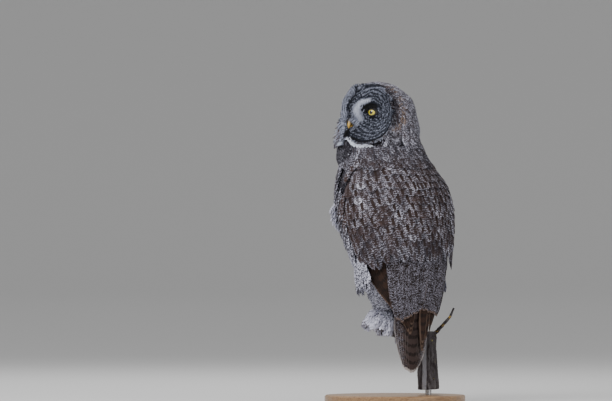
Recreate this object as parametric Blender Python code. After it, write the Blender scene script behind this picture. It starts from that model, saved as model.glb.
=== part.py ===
"""Great grey owl, a still life-size model that perches on a cut limb over a plain stand.

Metres, +Z up. The breast faces -Y, the bird's left is +X, and the head is turned
to the bird's left. The origin is the middle of the stand's underside.
"""

import math

import bmesh
import bpy
from mathutils import Vector

GAP = 0.0003  # what touching pieces keep between them

# Outline of the plumage: height, sideways and fore-aft centre, half width, half depth.
STATIONS = (
    (0.595, 0.010, -0.050, 0.094, 0.092),
    (0.560, 0.008, -0.038, 0.102, 0.099),
    (0.530, 0.004, -0.026, 0.115, 0.104),
    (0.495, 0.001, -0.014, 0.133, 0.111),
    (0.455, 0.000, -0.005, 0.142, 0.115),
    (0.415, 0.000, 0.003, 0.142, 0.114),
    (0.375, 0.000, 0.012, 0.135, 0.108),
    (0.335, 0.000, 0.022, 0.126, 0.098),
    (0.295, 0.000, 0.032, 0.117, 0.085),
    (0.255, 0.000, 0.042, 0.109, 0.068),
    (0.215, 0.000, 0.052, 0.094, 0.050),
    (0.175, 0.001, 0.060, 0.074, 0.035),
    (0.135, 0.002, 0.066, 0.062, 0.026),
    (0.065, 0.004, 0.070, 0.056, 0.022),
)

# Head
HEAD_CENTRE = Vector((0.012, -0.055, 0.640))
HEAD_TURN = math.radians(10)  # where the face points, from +X
HEAD_HALF_WIDTH = 0.081
HEAD_BACK = 0.079
HEAD_FRONT = 0.098
HEAD_CROWN = 0.0885
HEAD_BELOW = 0.160
HEAD_JOWL = 0.11  # how much wider the head is low down
NECK_TOP = 0.591
NECK_FOOT = 0.540
EYE_APART = 0.034  # from the middle of the face, sideways
EYE_FORWARD = 0.0450
EYE_UP = 0.0190
EYE_RADIUS = 0.0115
EYE_SPLAY = math.radians(18)
LID_FORWARD = 0.35  # of the eye's radius
LID_HEIGHT = 0.90  # of its width
LID_THICK = (0.0026, 0.0020)  # upper, lower
DISC_FLOOR = 0.047
DISC_RISE = 0.012
DISC_RADIUS = (0.052, 0.062)
DISC_SWEEP = 0.022  # how far back the disc's outer rims lie
FACE_RIDGE = 0.034
FACE_RIDGE_WIDTH = 0.019
FACE_LIP = 0.22  # how fast the face comes forward towards the throat
NOSTRIL_RADIUS = 0.0013
NOSTRIL_PLACE = (0.0825, 0.0050, 0.0035)  # forward, aside, up

# Bill: forward and up of each section's middle, half width and half height
BILL_UPPER = (
    (0.0600, 0.008, 0.0070, 0.0080), (0.0745, 0.006, 0.0064, 0.0070), (0.0845, -0.001, 0.0054, 0.0054),
    (0.0897, -0.010, 0.0036, 0.0036), (0.0902, -0.0175, 0.0010, 0.0010),
)
BILL_LOWER = (
    (0.0600, -0.005, 0.0060, 0.0046), (0.0725, -0.008, 0.0054, 0.0042), (0.0820, -0.012, 0.0040, 0.0030),
    (0.0862, -0.0150, 0.0014, 0.0010),
)

# Torso and wings
WING_DEPTH = 0.016
WING_SEAT = 0.0182  # how deep the torso is sunk under a wing
TORSO_SIDES = 32
LAYER_GAP = 0.0011  # between curved layers of feathers whose facets differ
TORSO_CLOSES = 0.325
TORSO_END = 0.240
WING_TOP = 0.526
WING_SPLIT = 0.367  # between the coverts and the flight feathers
WING_CORE_END = 0.327

# Vanes: where they start to narrow, how thick they are, and how far one edge stands over the other
VANE_TAPERS = 0.60
VANE_THICK = 0.0010
COVERT_TILT = 0.0012
COVERT_SHARES = (0.0, 0.42, 0.86, 1.0)
FLIGHT_ROOT = 0.360
FLIGHT_LEVELS = (0.360, 0.325, 0.290, 0.255, 0.223, 0.195, 0.173)
SECONDARY_TILT = 0.0011
PRIMARY_DEPTH = -0.0171  # of the outermost primary, which lies under the rest
PRIMARY_LAYER = 0.0011
PRIMARY_THICK = 0.00065
PRIMARY_MIDLINE = 0.0105  # how near the middle of the back their middle lines come
# Coverts: root and tip height, feathers in the tier, depth at the root and at the tip
COVERT_TIERS = (
    (0.387, 0.305, 5, (-0.0036, -0.0029)),
    (0.437, 0.351, 5, (-0.0080, 0.0008)),
    (0.489, 0.401, 4, (-0.0090, 0.0016)),
)
SECONDARIES = 6
PRIMARY_TIPS = (0.225, 0.181, 0.157, 0.159, 0.177)

# Tail
TAIL_FEATHERS = 3  # on each side of the middle one
TAIL_TOP = 0.307
TAIL_LEVELS = (0.301, 0.255, 0.210, 0.165, 0.125, 0.100)
TAIL_TIP = 0.070
TAIL_DEPTH = -0.0190

# Legs and feet
HIP_APART = 0.046
HIP_BACK = 0.022
HIP_HEIGHT = 0.300
LEG_RADIUS = 0.0135
THIGH_SWELL = 0.036
BALL_RADIUS = 0.014
TOE_RADIUS = 0.0088
TOE_TURN = (math.radians(18), math.radians(114))  # round the arm, from its top to the toe's end
CLAW_LENGTH = 0.016
CLAW_HOOK = 0.004
FOOT_PLACES = {"left": 0.055, "right": -0.026}  # along the arm
TOE_SPREAD = {"left": 0.018, "right": 0.014}

# Perch: a trunk with a broken arm to the bird's left and a thin twig
TRUNK_FOOT = Vector((-0.0711, 0.0310, 0.030))
TRUNK_TOP = Vector((-0.0655, 0.0312, 0.161))
TRUNK_RADIUS = 0.024
ARM_MIDDLE = Vector((-0.010, 0.010, 0.160))
ARM_ALONG = Vector((0.95, -0.31, 0.40)).normalized()
ARM_RADIUS = 0.017
ARM_REACH = 0.080
TWIG_RADIUS = 0.0035

# Stand
BASE_RADIUS = 0.160
BASE_THICK = 0.018
ROD_RADIUS = 0.007

PLUMAGE = (0.24, 0.22, 0.21)
PALE = (0.55, 0.54, 0.52)
DARK = (0.11, 0.09, 0.08)
BILL = (0.62, 0.55, 0.25)
IRIS = (0.80, 0.62, 0.08)
HORN = (0.04, 0.04, 0.04)
BARK = (0.27, 0.23, 0.20)
OAK = (0.36, 0.22, 0.11)
STEEL = (0.35, 0.35, 0.36)


def clear_scene():
    """Starts from an empty scene."""
    for thing in list(bpy.data.objects):
        bpy.data.objects.remove(thing, do_unlink=True)


def smoothstep(value, start, end):
    """0 before start, 1 after end, smooth between."""
    t = min(max((value - start) / (end - start), 0.0), 1.0)
    return t * t * (3 - 2 * t)


def soft_least(first, second, width):
    """The lesser of two lengths, rounded over where they cross."""
    mix = min(max(0.5 + 0.5 * (second - first) / width, 0.0), 1.0)
    return second * (1 - mix) + first * mix - width * mix * (1 - mix) / 2


def blend_keys(keys, at):
    """Reads a table of (place, values...) at a place, with a smooth curve between rows."""
    keys = sorted(keys)
    if at <= keys[0][0]:
        return keys[0][1:]
    if at >= keys[-1][0]:
        return keys[-1][1:]
    for k in range(len(keys) - 1):
        if at <= keys[k + 1][0]:
            break
    before, low, high, after = (
        keys[max(k - 1, 0)], keys[k], keys[k + 1], keys[min(k + 2, len(keys) - 1)]
    )
    span = high[0] - low[0]
    t = (at - low[0]) / span
    row = []
    for c in range(1, len(low)):
        slope_low = (high[c] - before[c]) / (high[0] - before[0]) * span
        slope_high = (after[c] - low[c]) / (after[0] - low[0]) * span
        row.append(
            (2 * t**3 - 3 * t**2 + 1) * low[c]
            + (t**3 - 2 * t**2 + t) * slope_low
            + (3 * t**2 - 2 * t**3) * high[c]
            + (t**3 - t**2) * slope_high
        )
    return tuple(row)


def plumage_point(angle, height, depth):
    """A point at an angle round the body from the back, and at a depth out from the outline."""
    across, along, half_width, half_depth = blend_keys(STATIONS, height)
    return Vector((
        across + (half_width + depth) * math.sin(angle),
        along + (half_depth + depth) * math.cos(angle),
        height,
    ))


def head_point(forward, left, up):
    """A point in the head's own directions, about its centre."""
    ahead = Vector((math.cos(HEAD_TURN), math.sin(HEAD_TURN), 0))
    aside = Vector((-math.sin(HEAD_TURN), math.cos(HEAD_TURN), 0))
    return HEAD_CENTRE + ahead * forward + aside * left + Vector((0, 0, up))


# Meshes

def new_object(name, builder, collection):
    """Turns a bmesh into an object of its own, with its faces pointing out."""
    bmesh.ops.recalc_face_normals(builder, faces=builder.faces)
    bmesh.ops.triangulate(builder, faces=builder.faces)
    mesh = bpy.data.meshes.new(name)
    builder.to_mesh(mesh)
    builder.free()
    thing = bpy.data.objects.new(name, mesh)
    collection.objects.link(thing)
    return thing


def loft(name, rings, collection):
    """Joins rings of points, one after another, and closes both ends."""
    builder = bmesh.new()
    loops = [[builder.verts.new(point) for point in ring] for ring in rings]
    count = len(loops[0])
    for low, high in zip(loops, loops[1:]):
        for k in range(count):
            after = (k + 1) % count
            builder.faces.new((low[k], low[after], high[after], high[k]))
    for end in (loops[0], loops[-1]):
        builder.faces.new(end)
    return new_object(name, builder, collection)


def plate(name, outer, inner, collection):
    """Closes two grids of points into a thin plate, with both faces split alike."""
    builder = bmesh.new()
    top = [[builder.verts.new(point) for point in row] for row in outer]
    under = [[builder.verts.new(point) for point in row] for row in inner]
    rows, columns = len(top), len(top[0])
    for i in range(rows - 1):
        for j in range(columns - 1):
            for grid in (top, under):
                builder.faces.new((grid[i][j], grid[i + 1][j], grid[i + 1][j + 1]))
                builder.faces.new((grid[i][j], grid[i + 1][j + 1], grid[i][j + 1]))
    rim = [(0, j) for j in range(columns)] + [(i, columns - 1) for i in range(1, rows)]
    rim += [(rows - 1, j) for j in range(columns - 2, -1, -1)] + [(i, 0) for i in range(rows - 2, 0, -1)]
    for (i, j), (m, n) in zip(rim, rim[1:] + rim[:1]):
        builder.faces.new((top[i][j], top[m][n], under[m][n]))
        builder.faces.new((top[i][j], under[m][n], under[i][j]))
    return new_object(name, builder, collection)


def tube(name, path, radii, sides, collection, grow=0.0):
    """A round tube along points, with a radius at each; grow makes it larger all round, for a cutter."""
    rings = []
    last = len(path) - 1
    for k, centre in enumerate(path):
        along = (path[min(k + 1, last)] - path[max(k - 1, 0)]).normalized()
        side = along.cross(Vector((0.13, 0.21, 0.97))).normalized()
        up = side.cross(along).normalized()
        shift = along * grow * ((k == last) - (k == 0))
        rings.append([
            centre + shift + (radii[k] + grow) * (math.cos(turn) * side + math.sin(turn) * up)
            for turn in (math.tau * n / sides for n in range(sides))
        ])
    return loft(name, rings, collection)


def baked(thing):
    """Applies an object's modifiers."""
    graph = bpy.context.evaluated_depsgraph_get()
    mesh = bpy.data.meshes.new_from_object(thing.evaluated_get(graph))
    thing.modifiers.clear()
    thing.data = mesh


def keep_largest(thing):
    """Keeps only the largest closed surface of a mesh."""
    builder = bmesh.new()
    builder.from_mesh(thing.data)
    bmesh.ops.remove_doubles(builder, verts=builder.verts, dist=0.000002)
    bmesh.ops.triangulate(builder, faces=builder.faces)
    unseen = set(builder.faces)
    islands = []
    while unseen:
        island = {unseen.pop()}
        front = list(island)
        while front:
            face = front.pop()
            for edge in face.edges:
                for other in edge.link_faces:
                    if other in unseen:
                        unseen.remove(other)
                        island.add(other)
                        front.append(other)
        islands.append(island)
    islands.sort(key=lambda faces: sum(face.calc_area() for face in faces))
    for island in islands[:-1]:
        bmesh.ops.delete(builder, geom=list(island), context="FACES")
    loose = [vertex for vertex in builder.verts if not vertex.link_faces]
    bmesh.ops.delete(builder, geom=loose, context="VERTS")
    builder.to_mesh(thing.data)
    builder.free()


def combine(thing, others, operation):
    """One Boolean of an object with a collection of closed meshes, which are then removed."""
    group = bpy.data.collections.new("others")
    bpy.context.scene.collection.children.link(group)
    for other in others:
        for holder in list(other.users_collection):
            holder.objects.unlink(other)
        group.objects.link(other)
    modifier = thing.modifiers.new("combine", "BOOLEAN")
    modifier.operation = operation
    modifier.operand_type = "COLLECTION"
    modifier.collection = group
    modifier.solver = "MANIFOLD"
    baked(thing)
    for other in others:
        bpy.data.objects.remove(other, do_unlink=True)
    bpy.data.collections.remove(group)
    keep_largest(thing)
    return thing


def finish(thing, colour, roughness, metallic=0.0):
    """Gives a node its own material."""
    material = bpy.data.materials.new(thing.name)
    material.use_nodes = True
    shader = material.node_tree.nodes["Principled BSDF"]
    shader.inputs["Base Color"].default_value = (*colour, 1)
    shader.inputs["Roughness"].default_value = roughness
    shader.inputs["Metallic"].default_value = metallic
    thing.data.materials.clear()
    thing.data.materials.append(material)


# Head

def face_surface(left, up):
    """How far forward the face lies: a dish round each eye, swept back to the sides, with a ridge
    between them that gives way to the bill, and a lip over the throat."""
    across = (abs(left) - EYE_APART - 0.004) / DISC_RADIUS[0]
    high = (up - EYE_UP + 0.004) / DISC_RADIUS[1]
    dish = DISC_FLOOR + DISC_RISE * (across**2 + high**2)
    sweep = DISC_SWEEP * smoothstep(abs(left), 0.022, 0.085) * (1 - 0.3 * smoothstep(-up, 0.0, 0.04))
    ridge = FACE_RIDGE * math.exp(-(abs(left / FACE_RIDGE_WIDTH) ** 2.6)) * (1 - smoothstep(up, 0.030, 0.070))
    ridge *= 1 - 0.4 * math.exp(-(((up + 0.006) / 0.013) ** 2))
    lip = FACE_LIP * max(-up - 0.018, 0) * (1 - smoothstep(abs(left), 0.030, 0.080))
    return dish - sweep + ridge + lip


def head_solid(collection):
    """A dome with a flattened, dished face, cut level where the neck begins."""
    builder = bmesh.new()
    bmesh.ops.create_uvsphere(builder, u_segments=36, v_segments=28, radius=1.0)
    for vertex in builder.verts:
        left, up, forward = vertex.co
        power = 2.2 + 0.3 * smoothstep(forward, 0.1, 0.6)
        reach = (
            abs(forward / (HEAD_FRONT if forward > 0 else HEAD_BACK)) ** power
            + abs(left / HEAD_HALF_WIDTH) ** power
            + abs(up / (HEAD_CROWN if up > 0 else HEAD_BELOW)) ** power
        ) ** (-1 / power)
        up *= reach
        wide = reach * (1 + HEAD_JOWL * (1 - smoothstep(up, -0.032, 0.022)))
        forward, left = wide * forward, wide * left
        if forward > 0:
            forward = soft_least(forward, face_surface(left, up), 0.008)
        vertex.co = head_point(forward, left, up)
    level = Vector((0, 0, NECK_TOP + GAP))
    everything = builder.verts[:] + builder.edges[:] + builder.faces[:]
    bmesh.ops.bisect_plane(
        builder, geom=everything, plane_co=level, plane_no=(0, 0, 1), clear_inner=True
    )
    bmesh.ops.remove_doubles(builder, verts=builder.verts, dist=0.00001)
    rim = [edge for edge in builder.edges if edge.is_boundary]
    bmesh.ops.contextual_create(builder, geom=rim)
    return new_object("head", builder, collection)


def eye_axis(side):
    """The way an eye looks: forward, turned a little out."""
    turn = HEAD_TURN + side * EYE_SPLAY
    return Vector((math.cos(turn), math.sin(turn), 0))


def eye_centre(side):
    return head_point(EYE_FORWARD, side * EYE_APART, EYE_UP)


def eye_solid(name, side, grow, collection):
    """An eyeball."""
    builder = bmesh.new()
    bmesh.ops.create_uvsphere(builder, u_segments=14, v_segments=8, radius=EYE_RADIUS + grow)
    bmesh.ops.translate(builder, verts=builder.verts, vec=eye_centre(side))
    return new_object(name, builder, collection)


def lid_ring(side, collection):
    """The lids: a thick rim round the eye's opening, lower than it is wide."""
    axis = eye_axis(side)
    frame = Vector((0, 0, 1)).cross(axis).normalized()
    centre = eye_centre(side) + axis * EYE_RADIUS * LID_FORWARD
    rings = []
    turns = 16
    sides = 5
    builder = bmesh.new()
    for n in range(turns):
        turn = math.tau * n / turns
        out = frame * math.cos(turn) + Vector((0, 0, 1)) * math.sin(turn) * LID_HEIGHT
        thick = LID_THICK[0] if math.sin(turn) > 0 else LID_THICK[1]
        rings.append([
            builder.verts.new(
                centre + out * EYE_RADIUS
                + thick * (math.cos(spin) * out + math.sin(spin) * axis)
            )
            for spin in (math.tau * m / sides for m in range(sides))
        ])
    for n in range(turns):
        low, high = rings[n], rings[(n + 1) % turns]
        for m in range(sides):
            after = (m + 1) % sides
            builder.faces.new((low[m], low[after], high[after], high[m]))
    return new_object("lid", builder, collection)


def bill_part(name, sections, grow, collection):
    """Half of the bill: ellipses along a curve in the head's forward and up directions."""
    sides = 10
    rings = []
    for k, (forward, up, half_width, half_height) in enumerate(sections):
        before = sections[max(k - 1, 0)]
        after = sections[min(k + 1, len(sections) - 1)]
        lean = math.atan2(after[1] - before[1], after[0] - before[0])
        if k == 0:
            forward -= grow
        rings.append([
            head_point(
                forward - (half_height + grow) * math.sin(turn) * math.sin(lean),
                (half_width + grow) * math.cos(turn),
                up + (half_height + grow) * math.sin(turn) * math.cos(lean),
            )
            for turn in (math.tau * n / sides for n in range(sides))
        ])
    return loft(name, rings, collection)


def build_head(parts):
    """Head, eyes and bill, each cut clear of the next."""
    head = head_solid(parts)
    combine(head, [lid_ring(side, parts) for side in (1, -1)], "UNION")
    cutters = [eye_solid("cut", side, GAP, parts) for side in (1, -1)]
    cutters += [bill_part("cut", sections, GAP, parts) for sections in (BILL_UPPER, BILL_LOWER)]
    combine(head, cutters, "DIFFERENCE")
    finish(head, PLUMAGE, 0.9)
    for name, side in (("eye_left", 1), ("eye_right", -1)):
        finish(eye_solid(name, side, 0, parts), IRIS, 0.1)
    upper = bill_part("bill_upper", BILL_UPPER, 0, parts)
    nostrils = []
    ahead, aside, up = NOSTRIL_PLACE
    for side in (1, -1):
        builder = bmesh.new()
        bmesh.ops.create_uvsphere(builder, u_segments=8, v_segments=6, radius=NOSTRIL_RADIUS)
        bmesh.ops.translate(builder, verts=builder.verts, vec=head_point(ahead, side * aside, up))
        nostrils.append(new_object("nostril", builder, parts))
    combine(upper, nostrils, "DIFFERENCE")
    finish(upper, BILL, 0.4)
    lower = bill_part("bill_lower", BILL_LOWER, 0, parts)
    combine(lower, [bill_part("cut", BILL_UPPER, GAP, parts)], "DIFFERENCE")
    finish(lower, BILL, 0.4)


# Torso

def mantle_angle(height):
    """Half the angle of the mantle, the V of back feathers between the wings."""
    return math.radians(34) * smoothstep(height, 0.355, 0.555) + math.radians(1.5)


def wing_front(height):
    """The angle of the wing's front edge, which runs back to the tip lower down."""
    return math.radians(blend_keys(
        ((0.155, 33.0), (0.175, 38.0), (0.233, 60.0), (0.290, 84.0), (0.335, 91.0), (0.385, 94.0), (0.485, 92.0),
         (0.530, 70.0)), height)[0])


def torso_depth(angle, height):
    """How far under the outline the torso lies: sunk where the wings cover it."""
    turn = abs(angle)
    mantle = mantle_angle(height)
    beside = smoothstep(turn, mantle, mantle + math.radians(6))
    beside = max(beside, 1 - smoothstep(height, 0.370, 0.405))
    before = 1 - smoothstep(turn, wing_front(height), wing_front(height) + math.radians(8))
    below = 1 - smoothstep(height, 0.507, 0.527)
    return -WING_SEAT * beside * before * below - 0.002 * (1 - beside)


def body_ring(height, grow, sides):
    """One level ring of the torso; it closes in below the belly."""
    drop = min(max((TORSO_CLOSES - height) / (TORSO_CLOSES - TORSO_END), 0.0), 0.995)
    close = math.sqrt(1 - drop**2)
    across, along, _, half_depth = blend_keys(STATIONS, height)
    middle = Vector((across, along + 0.40 * half_depth * (1 - close), height))
    ring = []
    for n in range(sides):
        angle = math.tau * n / sides
        signed = angle if angle <= math.pi else angle - math.tau
        point = plumage_point(signed, height, torso_depth(signed, height) + grow)
        offset = (point - Vector((across, along, height))) * close
        ring.append(middle + offset)
    return ring


def torso_solid(name, grow, sides, collection):
    """Body from the foot of the neck to the belly."""
    levels = [NECK_FOOT, 0.525, 0.510, 0.490, 0.465, 0.435, 0.400, 0.365, 0.335, 0.307, 0.283, 0.263, 0.249, 0.2412]
    rings = []
    for k, level in enumerate(levels):
        ring = body_ring(level, grow, sides)
        if k == 0:
            ring = [point + Vector((0, 0, grow)) for point in ring]
        if k == len(levels) - 1:
            ring = [point - Vector((0, 0, grow)) for point in ring]
        rings.append(ring)
    return loft(name, rings, collection)


def build_torso(parts):
    """Torso and neck."""
    finish(torso_solid("torso", 0, TORSO_SIDES, parts), PLUMAGE, 0.9)
    rings = []
    for level in (NECK_FOOT + GAP, 0.557, 0.575, NECK_TOP):
        rings.append([plumage_point(math.tau * n / 36, level, 0) for n in range(36)])
    finish(loft("neck", rings, parts), PLUMAGE, 0.9)


# Wings and tail

def girth(height):
    """The radius that turns an angle round the body into a distance along its skin."""
    _, _, half_width, half_depth = blend_keys(STATIONS, height)
    return (half_width + half_depth) / 2


def wing_point(side):
    """How a wing's points are placed: by distance from the back's middle, height and depth."""
    def place(aside, height, depth):
        return plumage_point(side * aside / girth(height), height, depth)
    return place


def wing_core(name, side, top, bottom, back, front, outer, inner, collection, rows=6, columns=6):
    """The sheet of wing that its feathers grow from, between two heights and two angles."""
    faces = ([], [])
    for i in range(rows + 1):
        height = top + (bottom - top) * i / rows
        start, end = back(height), front(height)
        pair = ([], [])
        for j in range(columns + 1):
            angle = start + (end - start) * j / columns
            rim = min(1.0, 4 * min(i / rows, 1 - i / rows) + 0.25, 4 * min(j / columns, 1 - j / columns) + 0.25)
            low = inner(height)
            high = low + (outer(height) - low) * rim
            pair[0].append(plumage_point(side * angle, height, high))
            pair[1].append(plumage_point(side * angle, height, low))
        faces[0].append(pair[0])
        faces[1].append(pair[1])
    return plate(name, faces[0], faces[1], collection)


def vane_width(share):
    """A vane's width at a share of its length, as a share of its full width."""
    root = 0.5 + 0.5 * smoothstep(share, 0.0, 0.3)
    taper = max(share - VANE_TAPERS, 0.0) / (1 - VANE_TAPERS)
    return root * math.sqrt(1 - 0.95 * taper**2)


def feather(place, middle, shares, half_width, depth, tilt, thick, collection):
    """One vane along a middle line: a thin leaf with a narrow root and a rounded tip.

    The middle line and the depth are functions of the share of its length. One edge
    stands out by the tilt and the other is sunk by it, so that neighbours overlap.
    """
    outer, inner = [], []
    for t in shares:
        width = vane_width(t)
        aside, height = middle(t)
        ahead, lower = middle(t + 0.02)
        before, upper = middle(t - 0.02)
        run = math.hypot(ahead - before, lower - upper)
        cross = ((upper - lower) / run, (ahead - before) / run)
        outer_row, inner_row = [], []
        for s in (-1, 0, 1):
            reach = s * half_width * width
            spot = (aside + cross[0] * reach, height + cross[1] * reach)
            level = depth(t) + tilt * s * width
            outer_row.append(place(*spot, level))
            inner_row.append(place(*spot, level - thick * (1.0 - 0.35 * t) * (1 - 0.25 * s * s)))
        outer.append(outer_row)
        inner.append(inner_row)
    return plate("vane", outer, inner, collection)


def level_shares(root, tip, levels):
    """Shares of a feather's length at heights that its neighbours share, and at its tip."""
    shares = [(root - level) / (root - tip) for level in levels if level > tip + 0.012]
    return [*shares, 0.94, 1.0]


def between(start, end):
    """A straight run from one pair of numbers, or one number, to another."""
    if isinstance(start, tuple):
        return lambda t: tuple(a + (b - a) * t for a, b in zip(start, end))
    return lambda t: start + (end - start) * t


def rising(root, tip):
    """A depth that starts low at the root and reaches the tip's along a curve."""
    return lambda t: tip + (root - tip) * max(1 - t, 0.0) ** 2


def covert_floor(height):
    """Depth of the face between the coverts and the flight feathers below them."""
    return -0.0055 - 0.0140 * smoothstep(height, 0.365, 0.410)


def secondary_floor():
    """Depth of the face between the secondaries and the primaries below them."""
    return -WING_DEPTH + 0.0050


def covert_feathers(side, collection):
    """Three tiers of coverts and scapulars, each over the tier below."""
    place = wing_point(side)
    feathers = []
    for root, tip, count, depths in COVERT_TIERS:
        start = mantle_angle(tip) * girth(tip) + 0.004
        end = wing_front(tip) * girth(tip) - 0.006
        step = (end - start) / count
        for k in range(count):
            aside = start + step * (k + 0.5)
            drift = 0.010 + 0.006 * k / count
            low = tip + 0.010 * math.sin(2.4 * k + 9 * root + 0.405)
            feathers.append(feather(
                place, between((aside + drift, root), (aside, low)), COVERT_SHARES, step * 0.70,
                rising(*depths), COVERT_TILT, VANE_THICK, collection,
            ))
    return feathers


def secondary_feathers(side, collection):
    """Secondaries and tertials, which lie side by side over the rump."""
    place = wing_point(side)
    feathers = []
    for k in range(SECONDARIES):
        share = k / (SECONDARIES - 1)
        root = (0.0145 + 0.0715 * share, FLIGHT_ROOT)
        tip = (0.0140 + 0.030 * share, 0.198 + 0.012 * math.cos(3.0 * share + 0.4))
        depth = -WING_DEPTH + 0.0080
        feathers.append(feather(
            place, between(root, tip), level_shares(FLIGHT_ROOT, tip[1], FLIGHT_LEVELS), 0.0118,
            between(depth, depth), SECONDARY_TILT, VANE_THICK, collection,
        ))
    return feathers


def primary_feathers(side, collection):
    """Primaries, which run down the wing's front edge and step back towards the tip."""
    place = wing_point(side)
    feathers = []
    for k, tip in enumerate(PRIMARY_TIPS):
        inset = 0.008 + 0.0140 * k

        def middle(t, tip=tip, inset=inset):
            height = FLIGHT_ROOT + (tip - FLIGHT_ROOT) * t
            front = wing_front(height) * girth(height)
            return max(front - inset * girth(height) / girth(FLIGHT_ROOT), PRIMARY_MIDLINE), height

        depth = PRIMARY_DEPTH + PRIMARY_LAYER * k
        feathers.append(feather(
            place, middle, level_shares(FLIGHT_ROOT, tip, FLIGHT_LEVELS), 0.0100, between(depth, depth),
            0.0, PRIMARY_THICK, collection,
        ))
    return feathers


def build_wing(side, label, parts):
    """One folded wing in three nodes, each over the next."""
    coverts = wing_core(
        f"wing_{label}_coverts", side, WING_TOP, WING_SPLIT, lambda z: mantle_angle(z) + math.radians(3.5),
        wing_front, lambda z: -0.0024, covert_floor, parts,
    )
    combine(coverts, covert_feathers(side, parts), "UNION")
    combine(coverts, [torso_solid("cut", GAP, TORSO_SIDES, parts)], "DIFFERENCE")
    finish(coverts, PLUMAGE, 0.9)
    secondaries = wing_core(
        f"wing_{label}_secondaries", side, WING_SPLIT, WING_CORE_END, lambda z: math.radians(3.0),
        lambda z: min(wing_front(z), math.radians(48)), lambda z: covert_floor(z) - LAYER_GAP,
        lambda z: secondary_floor() + LAYER_GAP / 2, parts, rows=3,
    )
    combine(secondaries, secondary_feathers(side, parts), "UNION")
    finish(secondaries, PALE, 0.9)
    primaries = wing_core(
        f"wing_{label}_primaries", side, WING_SPLIT, WING_CORE_END, lambda z: math.radians(30.0),
        lambda z: wing_front(z) - math.radians(1), lambda z: secondary_floor() - LAYER_GAP / 2,
        lambda z: -WING_SEAT - 0.001, parts, rows=3,
    )
    combine(primaries, primary_feathers(side, parts), "UNION")
    combine(primaries, [torso_solid("cut", GAP, TORSO_SIDES, parts)], "DIFFERENCE")
    finish(primaries, DARK, 0.9)


def plumage_back(aside, height, depth):
    """A point on the back of the outline at a sideways place, and at a depth out from it."""
    across, along, half_width, half_depth = blend_keys(STATIONS, height)
    share = min(abs(aside) / (half_width + depth), 0.99)
    return Vector((across + aside, along + (half_depth + depth) * math.sqrt(1 - share**2), height))


def build_tail(parts):
    """The tail: a root sheet under the rump, and feathers that fan from it, the middle one on top."""
    outer, inner = [], []
    for i in range(4):
        height = TAIL_TOP - 0.012 * i
        outer.append([plumage_back(0.034 * s / 3, height, TAIL_DEPTH - 0.001) for s in range(-3, 4)])
        inner.append([point - Vector((0, TAIL_FEATHERS * 0.0022, 0)) for point in outer[-1]])
    tail = plate("tail", outer, inner, parts)
    vanes = []
    for k in range(-TAIL_FEATHERS, TAIL_FEATHERS + 1):
        root = (0.0080 * k, TAIL_TOP - 0.006)
        tip = (0.0080 * k, TAIL_TIP + 0.0024 * k * k)
        depth = TAIL_DEPTH - 0.0004 - 0.0016 * abs(k)
        spread = 0.0044 * k

        def middle(t, root=root, tip=tip, spread=spread):
            aside, height = between(root, tip)(t)
            return aside + spread * math.sin(math.pi * min(max(t, 0), 1) ** 0.8), height

        vanes.append(feather(
            plumage_back, middle, level_shares(root[1], tip[1], TAIL_LEVELS), 0.0150,
            between(depth, depth), 0.0, VANE_THICK, parts,
        ))
    combine(tail, vanes, "UNION")
    combine(tail, [torso_solid("cut", GAP, TORSO_SIDES, parts)], "DIFFERENCE")
    finish(tail, PLUMAGE, 0.9)


# Perch and stand

def arm_point(along, turn=0.0, out=0.0):
    """A point along the arm, and out from its axis at an angle from its top towards the back."""
    centre = ARM_MIDDLE + ARM_ALONG * along
    back = ARM_ALONG.cross(Vector((0, 0, 1))).normalized()
    if back.y < 0:
        back = -back
    up = ARM_ALONG.cross(back).normalized()
    if up.z < 0:
        up = -up
    return centre + out * (math.cos(turn) * up + math.sin(turn) * back)


def trunk_solid(name, grow, collection):
    """The cut length of limb, a little knotted."""
    path, radii = [], []
    for k in range(9):
        t = k / 8
        path.append(TRUNK_FOOT.lerp(TRUNK_TOP, t))
        radii.append(TRUNK_RADIUS * (1 - 0.10 * t + 0.03 * math.sin(9 * t)))
    return tube(name, path, radii, 16, collection, grow)


def arm_solid(name, grow, collection):
    """The broken arm that both feet hold."""
    path = [arm_point(along) for along in (-0.066, -0.05, -0.03, 0.0, 0.03, 0.06, ARM_REACH)]
    scale = (1.0, 1.0, 0.99, 0.97, 0.96, 0.94, 0.86)
    return tube(name, path, [ARM_RADIUS * s for s in scale], 14, collection, grow)


def twig_solid(collection):
    """A thin twig that leaves the trunk to the bird's right."""
    path = [
        Vector((-0.070, 0.0300, 0.145)), Vector((-0.088, 0.0400, 0.161)), Vector((-0.100, 0.0490, 0.177)),
        Vector((-0.112, 0.0590, 0.195)), Vector((-0.118, 0.0650, 0.215)),
    ]
    return tube("perch_twig", path, [TWIG_RADIUS * s for s in (1.5, 1.25, 1.0, 0.85, 0.55)], 8, collection)


def build_perch(parts):
    """Trunk, arm and twig."""
    finish(trunk_solid("perch_trunk", 0, parts), BARK, 0.95)
    arm = arm_solid("perch_arm", 0, parts)
    combine(arm, [trunk_solid("cut", GAP, parts)], "DIFFERENCE")
    finish(arm, BARK, 0.95)
    twig = twig_solid(parts)
    combine(twig, [trunk_solid("cut", GAP, parts)], "DIFFERENCE")
    finish(twig, BARK, 0.95)


def cylinder(name, radius, low, high, centre, sides, bevel, collection):
    """An upright cylinder with an eased upper edge."""
    builder = bmesh.new()
    bmesh.ops.create_cone(
        builder, cap_ends=True, segments=sides, radius1=radius, radius2=radius, depth=high - low
    )
    bmesh.ops.translate(builder, verts=builder.verts, vec=(centre[0], centre[1], (low + high) / 2))
    if bevel:
        edges = [edge for edge in builder.edges if all(vertex.co.z > high - 1e-6 for vertex in edge.verts)]
        bmesh.ops.bevel(
            builder, geom=edges, offset=bevel, segments=1, profile=0.5, affect="EDGES", material=-1
        )
    return new_object(name, builder, collection)


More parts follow.
